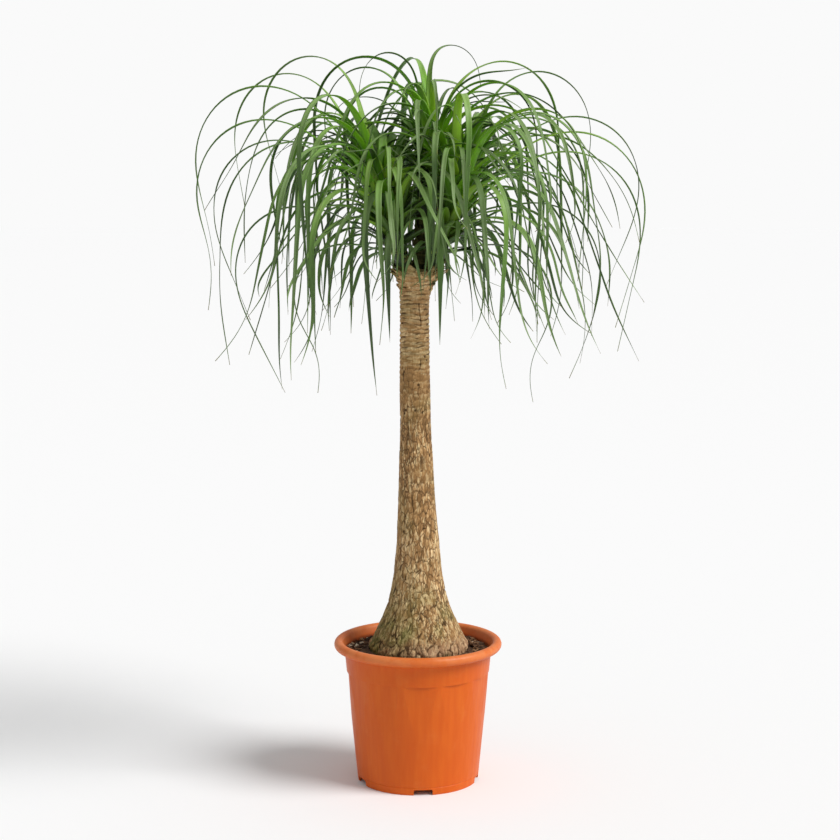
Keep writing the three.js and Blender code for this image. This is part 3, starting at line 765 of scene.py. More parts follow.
def barkMaterial():
    # Dead corky bark and leaf scars: dry, matt and rough, tan to cream on the raised cells, dark
    # brown in the cracks, olive where algae grow low on the shaded side, pinkish near the soil.
    material, tree, shader, place = newMaterial("corky bark")
    _, parts = storedNumbers(tree, "bark")
    plate, tone, moss = parts["Red"], parts["Green"], parts["Blue"]
    height = upOf(tree, place)
    high = remap(tree, height, 0.60, 0.70)

    # cork fibres: 2 mm apart round the stem, drawn out five times as long up it
    fibres = noiseOn(tree, stretched(tree, place, (500, 500, 105)), Detail=5.0, Roughness=0.6)
    grain = noiseOn(tree, place, 420.0, Detail=4.0)
    stains = noiseOn(tree, place, 24.0, Detail=5.0)
    # pale cream streaks, 4 mm wide and 17 mm long, lying round the stem higher up: partly the cork's own
    # pale colour, partly a painted highlight
    upright, level = [noiseOn(tree, stretched(tree, place, scale), Detail=2.0, Roughness=0.5, Distortion=0.4)
                      for scale in ((250, 250, 58), (60, 60, 250))]
    streaks = mixNumber(tree, high, upright, level)

    body = colourRamp(tree, tone, [(0.0, "#86623A"), (0.3, "#AA8153"), (0.5, "#C19663"), (0.72, "#DCB37E"),
                                   (0.92, "#F9DBA8")])
    swollen = remap(tree, height, 0.40, 0.30)
    creamHigh = remap(tree, streaks, 0.54, 0.64, 0.0, 0.75)
    creamLow = remap(tree, streaks, 0.50, 0.58, 0.0, 0.85)
    # the cream streaks are partly paler cork and partly a painted highlight on the raised cork
    bare = mixNumber(tree, swollen, creamHigh, creamLow)
    body = mixColour(tree, bare, body, "#F9DDA8")
    body = mixColour(tree, remap(tree, streaks, 0.45, 0.33, 0.0, 0.6), body, "#7C5A30")
    body = mixColour(tree, remap(tree, stains, 0.35, 0.65, 0.0, 0.45), body, "#9A7442")
    browner = mixColour(tree, 0.5, body, "#6E502C")
    body = mixColour(tree, remap(tree, fibres, 0.34, 0.66, 0.0, 0.75), body, browner)
    crack = colourRamp(tree, plate, [(0.0, "#3C2914"), (0.4, "#624726"), (0.8, "#8C6C40")])
    raised = remap(tree, plate, 0.25, 0.85)
    colour = mixColour(tree, raised, crack, body)
    # hairline fissures round plates 6 mm wide and 18 mm long, lying level on the ringed part
    wander = addNode(tree, "ShaderNodeTexNoise", {}, {"Vector": place, "Scale": 90.0, "Detail": 2.0})
    drift = vectorMath(tree, "MULTIPLY_ADD", wander.outputs["Color"], (0.006, 0.006, 0.009), place)[0]
    lines = []
    for scale in ((165, 165, 54), (48, 48, 190)):
        cells = addNode(tree, "ShaderNodeTexVoronoi", {"feature": "DISTANCE_TO_EDGE"},
                        {"Vector": stretched(tree, drift, scale), "Scale": 1.0})
        lines.append(remap(tree, cells.outputs["Distance"], 0.10, 0.02))
    fewer = remap(tree, height, 0.62, 0.70, 1.0, 0.35)
    kept = times(tree, remap(tree, stains, 0.62, 0.42, 0.25, 0.8), fewer)
    thin = times(tree, mixNumber(tree, high, *lines), kept)
    colour = mixColour(tree, thin, colour, "#5A4022")
    # pinkish young cork and dust near the soil
    low = remap(tree, height, 246 * mm, 222 * mm, 0.0, 0.42)
    colour = mixColour(tree, low, colour, mixColour(tree, raised, "#5C3A28", "#C39A7E"))
    mossy = mixColour(tree, raised, "#333312", mixColour(tree, bare, "#6B6834", "#A79A62"))
    colour = mixColour(tree, times(tree, moss, 1.05), colour, mossy)

    bump = bumpOn(tree, grain, 0.5, 0.9 * mm)
    bump = bumpOn(tree, fibres, 0.7, 1.4 * mm, Normal=bump)
    setInputs(tree, shader, {
        "Base Color": colour,
        "Roughness": remap(tree, grain, 0.3, 0.7, 0.72, 0.92),
        "Normal": bumpOn(tree, thin, 0.6, 1.2 * mm, invert=True, Normal=bump),
        "Specular IOR Level": 0.3,
    })
    return material


neck = {
    "stalk": 12.6,  # radius
    "slim": 8.5,
    "rings": 7.0,
    "scales": 74,  # round the flare
    "onStalk": 13,
    "flare": (784, 820),  # where they stand on it
    "width": 15.0,
    "length": 20.0,
    "widths": (0.7, 1.15),  # shares of the width and the length
    "lengths": (0.45, 0.8),
    "flareLean": (6, 40),  # from the foot of the flare to its edge
    "stalkLean": 0.3,  # radians
    "greenFrom": 0.45,
    "seed": 31,
}


def limbPiece(points, radii, salt):  # a ringed round limb through points, as part of the bark
    points = np.array(points, float)
    steps, sides = 39, 48
    share = np.linspace(0, len(points) - 1, steps + 1)
    axis = np.column_stack([np.interp(share, np.arange(len(points)), points[:, k]) for k in range(3)])
    radius = np.interp(share, np.arange(len(points)), radii)
    long = np.concatenate([[0], np.cumsum(np.linalg.norm(np.diff(axis, axis=0), axis=1))])
    ways = np.gradient(axis, axis=0)
    ways /= np.linalg.norm(ways, axis=1)[:, None]
    right = np.cross(ways, (0, 1, 0))
    right /= np.linalg.norm(right, axis=1)[:, None]
    front = np.cross(ways, right)
    turn = np.linspace(0, 2 * math.pi, sides, endpoint=False)[None, :, None]
    out = right[:, None] * np.cos(turn) + front[:, None] * np.sin(turn)
    bare = (axis[:, None] + out * radius[:, None, None]).reshape(-1, 3)
    ring = np.repeat(long, sides) / neck["rings"] + 0.4 * lumps(bare, 14, salt)
    plate = ease((0.5 + 0.5 * np.cos(2 * math.pi * ring) - 0.1) / 0.4)
    coords = bare + out.reshape(-1, 3) * (1.3 * plate - 0.6 + 0.8 * lumps(bare, 8, salt + 2))[:, None]
    piece = meshPiece("limb", coords * mm, tubeFaces(steps, sides))
    tone = np.clip(0.42 + 0.5 * lumps(bare, 9, salt + 4), 0, 1)
    storeColour(piece, "bark", np.column_stack([0.5 * plate, tone, 0.9 + 0 * tone]))
    return piece


def scaleShape():  # the dried foot of a shed leaf: a thin torn wedge that wraps the stem
    deselectAll()
    bpy.ops.mesh.primitive_grid_add(x_subdivisions=8, y_subdivisions=8, size=1)
    scale = bpy.context.object
    coords = coordsOf(scale)
    up = coords[:, 1] + 0.5
    torn = 0.16 * lumps(coords, 0.22, 3.0) * up
    coords[:, 0] *= (1 - 0.8 * up ** 1.5 + torn)
    coords[:, 2] = -0.9 * coords[:, 0] ** 2 + 0.26 * up ** 2 + 0.05 * np.sin(9 * coords[:, 0])
    coords[:, 1] = up * (1 + 0.3 * lumps(coords * (1, 0, 0), 0.2, 5.0))
    setCoords(scale, coords)
    applyModifier(scale, "SOLIDIFY", thickness=0.06, offset=0.0)
    return scale


def placeScale(scale, spot, outward, upward, wide, long, tone, green):
    side = upward.cross(outward).normalized()
    frame3 = Matrix((side * wide, upward * long, outward * wide)).transposed()
    copy = copyAt(scale, Matrix.Translation(spot * mm) @ (frame3 * mm).to_4x4())
    settle(copy)
    storeColour(copy, "bark", np.full((len(copy.data.vertices), 3), (0.9 - 0.4 * green, tone, green)))
    return copy


def makeLeafBases():
    scale = scaleShape()
    draw = draws(neck["seed"])
    copies = []
    heights = [z for _, z in stem["outline"]]
    radii = [r for r, _ in stem["outline"]]
    low, high = neck["flare"]
    upright, leaning = neck["flareLean"]
    for i in range(neck["scales"]):  # a spiral up the flare, longer and looser at its edge
        share = (i + 0.5) / neck["scales"]
        z = low + (high - low) * share
        turn = math.radians(goldenTurn * i + draw(-16, 16))
        radius = float(np.interp(z, heights, radii)) - 1.2
        outward = Vector((math.cos(turn), math.sin(turn), 0))
        lean = math.radians(upright + (leaning - upright) * share + draw(-7, 9))
        upward = Vector((0, 0, math.cos(lean))) + outward * math.sin(lean)
        face = outward * math.cos(lean) - Vector((0, 0, math.sin(lean)))
        spot = Vector((float(swayAt(z)), 0, z)) + outward * radius
        wide = neck["width"] * draw(*neck["widths"])
        long = neck["length"] * draw(*neck["lengths"]) * (0.7 + 0.6 * share)
        green = 0.85 * ease((share - neck["greenFrom"]) / 0.45) * draw(0.4, 1.0)
        copies.append(placeScale(scale, spot, face, upward, wide, long, draw(0.3, 1.0), green))
    for name, head in heads.items():  # and up each stalk
        foot, tip = Vector(head["foot"]), Vector(head["tip"])
        along = (tip - foot).normalized()
        right = along.cross(Vector((0, 1, 0))).normalized()
        front = along.cross(right)
        slim = name == "head_top"
        lean = neck["stalkLean"]
        for i in range(neck["onStalk"] * (2 if slim else 1)):
            turn = math.radians(goldenTurn * i + draw(-14, 14))
            away = right * math.cos(turn) + front * math.sin(turn)
            down = draw(-74, 4) if slim else draw(-20, 12)
            upward = along * math.cos(lean) + away * math.sin(lean)
            face = away * math.cos(lean) - along * math.sin(lean)
            spot = foot + along * down + away * (neck["slim"] if slim else neck["stalk"] - 1)
            size = draw(0.6, 1.0)
            copies.append(placeScale(scale, spot, face, upward, neck["width"] * size * (0.75 if slim else 1),
                                     neck["length"] * size * 0.8, draw(0.25, 0.95), 0.95))
    bpy.data.objects.remove(scale)
    return copies


def makeStem():
    pieces = [makeBarkShell()]
    for k, (name, head) in enumerate(heads.items()):
        foot, tip = np.array(head["foot"], float), np.array(head["tip"], float)
        along = (tip - foot) / np.linalg.norm(tip - foot)
        if name == "head_top":
            elbow = foot - 11 * along
            path = [crown["slimFoot"], elbow, foot + 3 * along]
            radii = [neck["slim"] + 1.5, neck["slim"], neck["slim"]]
        else:
            path = [foot - 24 * along, foot + 3 * along]
            radii = [neck["stalk"] + 1, neck["stalk"]]
        pieces.append(limbPiece(path, radii, 20 + k))
    pieces += makeLeafBases()
    piece = joinPieces(pieces, "corky_stem")
    piece.data.materials.append(barkMaterial())
    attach(piece, "root")
    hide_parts("stem")
    print("stem:", len(piece.data.polygons), "faces")


# soil

soil = {
    "atWall": 211.0,
    "atStem": 215.0,
    "gap": 0.5,
    "rings": 13,
    "sides": 200,
    "chips": 330,
    "crumbs": 420,
    "fibres": 60,
    "sizes": (0.55, 1.25),
    "above": (0.3, 2.4),  # how far the middle of a bit is over the plain level
    "tilt": 0.5,  # radians
    "seed": 4711,
}


def soilMaterial():
    # Peat and composted bark: nearly black-brown when damp, matt, with paler dry chips.
    material, tree, shader, place = newMaterial("peat and bark compost")
    _, parts = storedNumbers(tree, "bits")
    colour = colourRamp(tree, parts["Red"], [(0.0, "#3A281A"), (0.35, "#5A3E29"), (0.6, "#7A563A"),
                                             (0.8, "#A17C58"), (0.95, "#D9C7AE")])
    crumbs = noiseOn(tree, place, 260.0, Detail=6.0)
    setInputs(tree, shader, {
        "Base Color": mixColour(tree, remap(tree, crumbs, 0.35, 0.62, 0.55, 0.0), colour, "#2A1B10"),
        "Roughness": remap(tree, crumbs, 0.3, 0.7, 0.95, 0.75),
        "Normal": bumpOn(tree, crumbs, 0.8, 1.6 * mm),
        "Specular IOR Level": 0.25,
    })
    return material


def soilLevel(radius):  # the plain height of the soil's top at a radius
    return np.interp(radius, [78, 92, 116], [soil["atStem"], soil["atStem"] - 1.5, soil["atWall"]])


def makeSoil():
    gap = soil["gap"]
    bottom = pot["floorUnder"] + pot["floorThick"] + 0.3
    inner = stem["under"][-1][0] + 0.6
    outer = insideRadius(soil["atWall"]) - gap
    outline = [(30 + gap, stem["bottom"] - 0.3)]
    outline += [(r + gap, z - 0.3) for r, z in stem["under"][1:]]
    outline += [(float(r), float(soilLevel(r))) for r in np.linspace(inner, outer, soil["rings"])]
    outline += [(insideRadius(z) - gap, z) for z in (205, 160, 100, 50)]
    outline += [(insideRadius(bottom) - 3, bottom), (40, bottom)]
    piece = riseRings("soil_plug", outline, soil["sides"])
    coords = coordsOf(piece) / mm
    radius = np.hypot(coords[:, 0], coords[:, 1])
    top = (coords[:, 2] > 208) & (radius > inner + 1)
    free = ease((radius - inner) / 5) * ease((outer - radius) / 4 + 0.35) * top
    coords[:, 2] += free * (2.6 * lumps(coords, 16, 4.0) + 1.5 * lumps(coords, 6, 9.0))
    nearStem = (radius < inner + 6) & (coords[:, 2] < 216.5)
    coords[:, 0] += np.where(nearStem, swayAt(coords[:, 2]), 0)
    setCoords(piece, coords * mm)
    storeColour(piece, "bits", np.column_stack([0.25 + 0.2 * lumps(coords, 9, 2.0)] * 3))

    bits = [chipShape(), crumbShape(), fibreShape()]
    draw = draws(soil["seed"])
    pieces = [piece]
    for bit, count in zip(bits, (soil["chips"], soil["crumbs"], soil["fibres"])):
        for _ in range(count):
            around, out = draw(0, 2 * math.pi), math.sqrt(draw())
            r = inner + 4 + (outer - inner - 9) * out
            size = draw(*soil["sizes"])
            z = float(soilLevel(r)) + draw(*soil["above"])
            place = Vector((r * math.cos(around), r * math.sin(around), z)) * mm
            lean, roll = draw(-soil["tilt"], soil["tilt"]), draw(-soil["tilt"], soil["tilt"])
            tilt = Matrix.Rotation(lean, 4, "X") @ Matrix.Rotation(roll, 4, "Y")
            shape = Matrix.Diagonal((size, size * draw(0.7, 1.2), size * draw(0.6, 1.1), 1))
            turn = Matrix.Rotation(draw(0, 2 * math.pi), 4, "Z")
            copy = copyAt(bit, Matrix.Translation(place) @ tilt @ turn @ shape)
            storeColour(copy, "bits", np.full((len(copy.data.vertices), 3), draw(0.1, 1.0) ** 1.6))
            pieces.append(copy)
    piece = joinPieces(pieces, "potting_compost")
    for bit in bits:
        bpy.data.objects.remove(bit)
    smooth(piece, 50)
    piece.data.materials.append(soilMaterial())
    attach(piece, "root")
    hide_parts("soil")
    print("soil:", len(piece.data.polygons), "faces")


def chipShape():  # a flat chip of bark, 9 mm long
    deselectAll()
    bpy.ops.mesh.primitive_cube_add(size=1, scale=(9 * mm, 5.5 * mm, 2.2 * mm))
    chip = bpy.context.object
    settle(chip)
    editWhole(chip)
    bpy.ops.mesh.subdivide(number_cuts=1)
    bpy.ops.mesh.bevel(offset=0.5 * mm, segments=1, affect="VERTICES")
    bpy.ops.object.mode_set(mode="OBJECT")
    coords = coordsOf(chip)
    setCoords(chip, coords * (1 + 0.35 * lumps(coords, 0.004, 1.0)[:, None]))
    return chip


def crumbShape():  # a lump of peat, 3 mm across
    deselectAll()
    bpy.ops.mesh.primitive_ico_sphere_add(subdivisions=1, radius=1.7 * mm)
    crumb = bpy.context.object
    coords = coordsOf(crumb)
    setCoords(crumb, coords * (1 + 0.5 * lumps(coords, 0.002, 2.0)[:, None]))
    return crumb


def fibreShape():  # a thread of coir, 16 mm long
    deselectAll()
    bpy.ops.mesh.primitive_cylinder_add(vertices=5, radius=0.5 * mm, depth=16 * mm,
                                        rotation=(0, math.pi / 2, 0))
    fibre = bpy.context.object
    settle(fibre)
    editWhole(fibre)
    for along in (-3 * mm, 3 * mm):
        bpy.ops.mesh.select_all(action="SELECT")
        bpy.ops.mesh.bisect(plane_co=(along, 0, 0), plane_no=(1, 0, 0))
    bpy.ops.object.mode_set(mode="OBJECT")
    coords = coordsOf(fibre)
    coords[:, 1] += 2.2 * mm * np.cos(coords[:, 0] / (6 * mm))
    setCoords(fibre, coords)
    return fibre


makeSoil()


# crown: five heads of strap leaves

crown = {
    "coreFoot": 12.0,
    "coreTip": 7.0,
    "firstRoot": 0.08,
    "slimFoot": (1, 1, 812),
    "pieces": 7,
    "shortPieces": 6,
    "short": 470,
    "seed": 30166,
    "tries": 24,
    "clear": 2.2,
    "steps": 48,
    "reachX": 356,
    "reachY": 306,
    "low": 590,
    "high": 1182,
    "domeFoot": 950,
    "domeHeight": 238,
    "domeX": 372,
    "overStem": 835,  # under this height leaves stay out of a circle round the stem
    "besideStem": 46,
    "bareStem": 780,  # under this height nothing hangs in front of the stem
    "bareHalf": 36,
    "curtain": 800,  # under this height few leaves hang in front of the middle
    "curtainHalf": 130,
    "veiled": 0.3,  # the share of leaves that may
    "lastRoot": 0.96,
    "stalkHalf": 11,
    "slimHalf": 10,
}

# foot and tip of each head's axis, the turn of its first leaf and how many it tries to grow
heads = {
    "head_left": {"foot": (-21, -13, 828), "tip": (-58, -42, 936), "turn": 20, "leaves": 52},
    "head_right": {"foot": (23, -14, 828), "tip": (64, -40, 930), "turn": 100, "leaves": 52},
    "head_back_left": {"foot": (-20, 18, 832), "tip": (-74, 52, 950), "turn": 170, "leaves": 48},
    "head_back_right": {"foot": (22, 18, 832), "tip": (82, 56, 960), "turn": 250, "leaves": 48},
    "head_top": {"foot": (8, 3, 908), "tip": (24, 8, 1004), "turn": 330, "leaves": 37},
}

# how leaves grow from the lowest of a head to its youngest
growth = {
    "crowd": 0.68,
    "fan": goldenTurn,
    "sideSpread": 0.5,
    "topSpread": 1.0,
    "sideLow": 8,
    "topLow": 24,
    "upright": 82,
    "inward": 34,
    "shortest": 180,
    "longer": 365,
    "youngLess": 110,
    "frontLess": 0.32,
    "hangMore": 18,
    "mostLift": 86,
    "frontHalf": 22,  # how far each side of the front leaves stay short
}

# the limits between which each leaf's own numbers are drawn
vary = {
    "azimuth": (-24, 24),
    "lift": (-12, 12),
    "length": (0.78, 1.14),
    "limp": (0.5, 0.88),
    "hang": (-102, -58),
    "stiff": (-0.04, 0.1),
    "drift": (-26, 26),
    "flick": (-36, 48),
    "turn": (-75, 75),
    "twist": (-45, 45),
    "width": (12.5, 18),
    "veil": (0, 1),
    "wave": (-16, 16),
}

# The leaves that give the crown its outline: head, share of the way up its axis, azimuth and
# lift at the start, length, hang, shares where the bend starts and ends, drift, turn, flick,
# twist and width.
placed = [
    ("head_left", 0.86, 176, 60, 616, -112, 0.15, 0.90, 4, 0, 15, 10, 13),
    ("head_left", 0.76, 180, 51, 600, -116, 0.13, 0.88, 2, 0, 35, 8, 14),
    ("head_left", 0.60, 178, 50, 570, -112, 0.12, 0.85, -4, 0, 0, -10, 13),
    ("head_left", 0.98, 130, 72, 550, -105, 0.24, 0.88, 50, 0, 0, 10, 16),
    ("head_back_right", 0.70, 6, 50, 580, -112, 0.14, 0.88, -10, 0, 0, 10, 13),
    ("head_right", 0.74, -10, 48, 600, -106, 0.12, 0.84, 0, 0, 0, 10, 14),
    ("head_right", 0.60, 2, 45, 600, -102, 0.10, 0.82, 0, 0, 0, 10, 15),
    ("head_top", 0.80, -150, 81, 290, -85, 0.40, 1.00, -20, 0, 0, 0, 17),
    ("head_top", 0.92, 115, 83, 300, -85, 0.40, 1.00, -115, 0, 0, 0, 15),
    ("head_top", 0.55, 150, 75, 455, -100, 0.20, 0.85, 20, 0, 0, 0, 12),
    ("head_right", 0.97, 30, 73, 520, -100, 0.20, 0.90, -30, 0, 0, 10, 14),
    ("head_left", 0.26, -108, 62, 450, -96, 0.08, 0.50, -22, -20, 0, 0, 20),
    ("head_left", 0.45, -40, 72, 290, -100, 0.10, 0.65, -60, 0, 0, 0, 18),
    ("head_left", 0.76, -54, 64, 320, -97, 0.10, 0.62, 10, 0, 0, -8, 19),
    ("head_right", 0.80, -118, 74, 380, -97, 0.22, 0.62, 44, 0, 0, -8, 18),
    ("head_right", 0.85, -88, 74, 540, -97, 0.22, 0.60, 20, -80, 30, -8, 18),
    ("head_right", 0.46, -58, 50, 470, -96, 0.10, 0.55, 6, 30, 20, -8, 18),
    ("head_right", 0.86, -52, 64, 430, -97, 0.20, 0.65, 8, 0, 0, -8, 18),
    ("head_left", 0.80, -126, 68, 590, -97, 0.15, 0.70, 6, 0, 0, -8, 19),
    ("head_left", 0.12, -100, 48, 260, -97, 0.05, 0.60, 0, 0, 0, 0, 18),
    ("head_right", 0.12, -88, 46, 260, -97, 0.05, 0.60, 0, 0, 0, 0, 17),
    ("head_right", 0.66, -66, 52, 600, -104, 0.12, 0.85, 0, 0, 20, 10, 14),
    ("head_left", 0.20, 184, 32, 530, -116, 0.10, 0.80, 0, 0, 0, 10, 15),
    ("head_left", 0.10, 190, 18, 370, -122, 0.05, 0.80, 0, 0, 40, 10, 14),
    ("head_right", 0.12, -6, 16, 390, -118, 0.05, 0.80, 0, 0, 40, 10, 14),
    ("head_right", 0.30, 2, 34, 500, -104, 0.08, 0.80, 0, 0, -10, 10, 15),
    ("head_back_left", 0.90, 150, 66, 540, -100, 0.20, 0.90, 20, 0, 0, 10, 13),
]


def headingOf(blade, t):  # lift and azimuth at a share t of the length, in radians
    bend = ease((t - blade["stiff"]) / (blade["limp"] - blade["stiff"]))
    end = ease((t - 0.72) / 0.28)
    lift = blade["lift"] + (blade["hang"] - blade["lift"]) * bend + blade["flick"] * end
    azimuth = blade["azimuth"] + blade["drift"] * ease(t) + blade["turn"] * end
    azimuth = azimuth + blade["wave"] * np.sin(7 * t) * ease(t / 0.3)
    return np.radians(lift), np.radians(azimuth)


def routeOf(blade, steps):
    lift, azimuth = headingOf(blade, (np.arange(steps) + 0.5) / steps)
    ways = np.column_stack([np.cos(lift) * np.cos(azimuth), np.cos(lift) * np.sin(azimuth), np.sin(lift)])
    return np.vstack([blade["root"], blade["root"] + np.cumsum(ways * blade["length"] / steps, axis=0)])


def halfWidth(blade, t):
    clasp = 0.3 + 0.85 * ease(t / 0.14) - 0.15 * ease((t - 0.14) / 0.2)
    return 0.5 * blade["width"] * clasp * np.maximum(0, 1 - t ** 1.25) ** 0.85


def framesAlong(blade, t, steps):  # point, side and back of the blade at each share
    route = routeOf(blade, steps)
    place = t * steps
    i = np.minimum(np.floor(place).astype(int), steps - 1)
    point = route[i] + (route[i + 1] - route[i]) * (place - i)[:, None]
    lift, azimuth = headingOf(blade, t)
    twist = np.radians(blade["twist"] * t)[:, None]
    level = np.column_stack([-np.sin(azimuth), np.cos(azimuth), 0 * azimuth])
    above = np.column_stack([-np.sin(lift) * np.cos(azimuth), -np.sin(lift) * np.sin(azimuth), np.cos(lift)])
    side = level * np.cos(twist) + above * np.sin(twist)
    back = level * np.sin(twist) - above * np.cos(twist)
    return point, side, back


def sectionsOf(blade):
    bends = (crown["shortPieces"] if blade["length"] < crown["short"] else crown["pieces"]) - 2
    t = np.array([blade["limp"] * j / bends for j in range(bends + 1)] + [(blade["limp"] + 1) / 2, 1.0])
    point, side, _ = framesAlong(blade, t, crown["steps"])
    return t, point, side, halfWidth(blade, t)


def dot(a, b):
    return np.einsum("...k,...k->...", a, b)


class Taken:  # every stretch of leaf or stalk that is already in place
    def __init__(self):
        self.low, self.high, self.side = (np.zeros((0, 3)) for _ in range(3))
        self.halfLow, self.halfHigh, self.t = (np.zeros(0) for _ in range(3))
        self.head = np.zeros(0, int)

    def add(self, sections, head):
        t, point, side, half = sections
        self.low = np.vstack([self.low, point[:-1]])
        self.high = np.vstack([self.high, point[1:]])
        self.side = np.vstack([self.side, (side[:-1] + side[1:]) / 2])
        self.halfLow = np.append(self.halfLow, half[:-1])
        self.halfHigh = np.append(self.halfHigh, half[1:])
        self.t = np.append(self.t, t[:-1])
        self.head = np.append(self.head, np.full(len(t) - 1, head))

    def isClear(self, sections, head):  # leaves of one head may clasp each other near the root
        t, point, side, half = sections
        a0, a1 = point[:-1, None], point[1:, None]
        da, db = a1 - a0, (self.high - self.low)[None]
        r = a0 - self.low[None]
        a, e = np.maximum(dot(da, da), 1e-9), np.maximum(dot(db, db), 1e-9)
        f, c, b = dot(db, r), dot(da, r), dot(da, db)
        den = a * e - b * b
        s = np.where(den > 1e-9, np.clip((b * f - c * e) / np.maximum(den, 1e-9), 0, 1), 0.0)
        u = (b * s + f) / e
        s = np.where(u < 0, np.clip(-c / a, 0, 1), np.where(u > 1, np.clip((b - c) / a, 0, 1), s))
        u = np.clip(u, 0, 1)
        way = r + da * s[..., None] - db * u[..., None]
        distance = np.sqrt(dot(way, way))
        way = way / np.maximum(distance, 1e-6)[..., None]
        middle = ((side[:-1] + side[1:]) / 2)[:, None]
        mine = np.abs(dot(way, middle)) * (half[:-1, None] + (half[1:] - half[:-1])[:, None] * s)
        its = np.abs(dot(way, self.side[None])) * (self.halfLow + (self.halfHigh - self.halfLow) * u)
        same = (self.head == head)[None]
        need = (mine + its + crown["clear"]) * np.where(same, 0.85, 1.0)
        clasps = same & ((t[:-1, None] < 0.16) | (self.t[None] < 0.16))
        return not ((distance < need) & ~clasps).any()


def fits(blade, sections, head, taken):
    x, y, z = sections[1].T
    if (np.abs(x) > crown["reachX"]).any() or (np.abs(y) > crown["reachY"]).any():
        return False
    if (z < crown["low"]).any() or (z > crown["high"]).any():
        return False
    dome = (x / crown["domeX"]) ** 2 + (np.maximum(z - crown["domeFoot"], 0) / crown["domeHeight"]) ** 2
    if (dome > 1).any():
        return False
    fromStem = x - stem["swayHigh"]
    if ((z < crown["overStem"]) & (np.hypot(fromStem, y) < crown["besideStem"])).any():
        return False
    if ((y < 0) & (z < crown["bareStem"]) & (np.abs(fromStem) < crown["bareHalf"])).any():
        return False
    inCurtain = (y < 0) & (z < crown["curtain"]) & (np.abs(x) < crown["curtainHalf"])
    if blade["veil"] > crown["veiled"] and inCurtain.any():
        return False
    return taken.isClear(sections, head)


def rootOf(head, up, azimuth):
    foot, tip = np.array(head["foot"], float), np.array(head["tip"], float)
    radius = (crown["coreFoot"] + (crown["coreTip"] - crown["coreFoot"]) * up) * 0.5
    turn = math.radians(azimuth)
    along = crown["firstRoot"] + (crown["lastRoot"] - crown["firstRoot"]) * up
    return foot + (tip - foot) * along + radius * np.array([math.cos(turn), math.sin(turn), 0])


def drawBlade(name, index, draw):  # the lowest leaves are short and low, the youngest upright
    head = heads[name]
    up = ((index + 0.5) / head["leaves"]) ** growth["crowd"]
    spread = growth["topSpread"] if name == "head_top" else growth["sideSpread"]
    low = growth["topLow"] if name == "head_top" else growth["sideLow"]
    axis = np.array(head["tip"], float) - np.array(head["foot"], float)
    outward = math.degrees(math.atan2(axis[1], axis[0]))
    around = (head["turn"] + index * growth["fan"] - outward + 180) % 360 - 180
    azimuth = outward + around * (spread + (1 - spread) * up) + draw(*vary["azimuth"])
    inward = 0.5 - 0.5 * math.cos(math.radians(azimuth - outward))
    rise = low + (growth["upright"] - low) * up ** 0.7 + growth["inward"] * inward * (1 - up) * spread
    lift = min(rise + draw(*vary["lift"]), growth["mostLift"])
    facing = (azimuth + 180) % 360 - 180 + 90
    front = math.exp(-((facing / growth["frontHalf"]) ** 2))
    grown = growth["shortest"] + growth["longer"] * float(ease(up / 0.8))
    grown -= growth["youngLess"] * float(ease((up - 0.8) / 0.2))
    blade = {"up": up, "azimuth": azimuth, "lift": lift, "root": rootOf(head, up, azimuth)}
    blade["length"] = grown * draw(*vary["length"]) * (1 - growth["frontLess"] * front)
    for key in ("limp", "hang", "stiff", "drift", "flick", "turn", "twist", "width", "veil", "wave"):
        blade[key] = draw(*vary[key])
    blade["hang"] += growth["hangMore"] * (1 - up)
    return blade


def placedBlade(row):
    keys = ("up", "azimuth", "lift", "length", "hang", "stiff", "limp", "drift", "turn", "flick", "twist",
            "width")
    blade = dict(zip(keys, row[1:]), veil=0, wave=0)
    blade["root"] = rootOf(heads[row[0]], blade["up"], blade["azimuth"])
    return blade


def stalkSections(low, high, half, side):  # plain sections, to keep leaves clear of a stalk
    low, high = np.array(low, float), np.array(high, float)
    point = np.array([low, (low + high) / 2, high])
    return np.zeros(3), point, np.array([side] * 3, float), np.full(3, float(half))


def growCrown():
    names = list(heads)
    grown = {name: [] for name in names}
    taken = Taken()
    for k, name in enumerate(names):
        foot, tip = np.array(heads[name]["foot"], float), np.array(heads[name]["tip"], float)
        for side in ((1, 0, 0), (0, 1, 0)):
            taken.add(stalkSections(foot - 0.15 * (tip - foot), tip, crown["stalkHalf"], side), k)
            if name == "head_top":
                taken.add(stalkSections(crown["slimFoot"], foot, crown["slimHalf"], side), -1)

    def settleBlade(blade, k):
        sections = sectionsOf(blade)
        if not fits(blade, sections, k, taken):
            return False
        taken.add(sections, k)
        grown[names[k]].append(blade)
        return True

    for row in placed:
        settleBlade(placedBlade(row), names.index(row[0]))
    draw = draws(crown["seed"])
    for i in range(max(head["leaves"] for head in heads.values())):
        for k, name in enumerate(names):
            head = heads[name]
            tries = crown["tries"] if i < head["leaves"] else 0
            while tries > 0 and not settleBlade(drawBlade(name, head["leaves"] - 1 - i, draw), k):
                tries -= 1
    return grown


# leaf blades

strap = {
    "segments": 56,
    "across": 7,  # points across the upper side
    "keel": 2.3,  # depth of the channel
    "thick": 0.75,
    "ripple": 0.5,
    "broadFoot": 0.28,
}


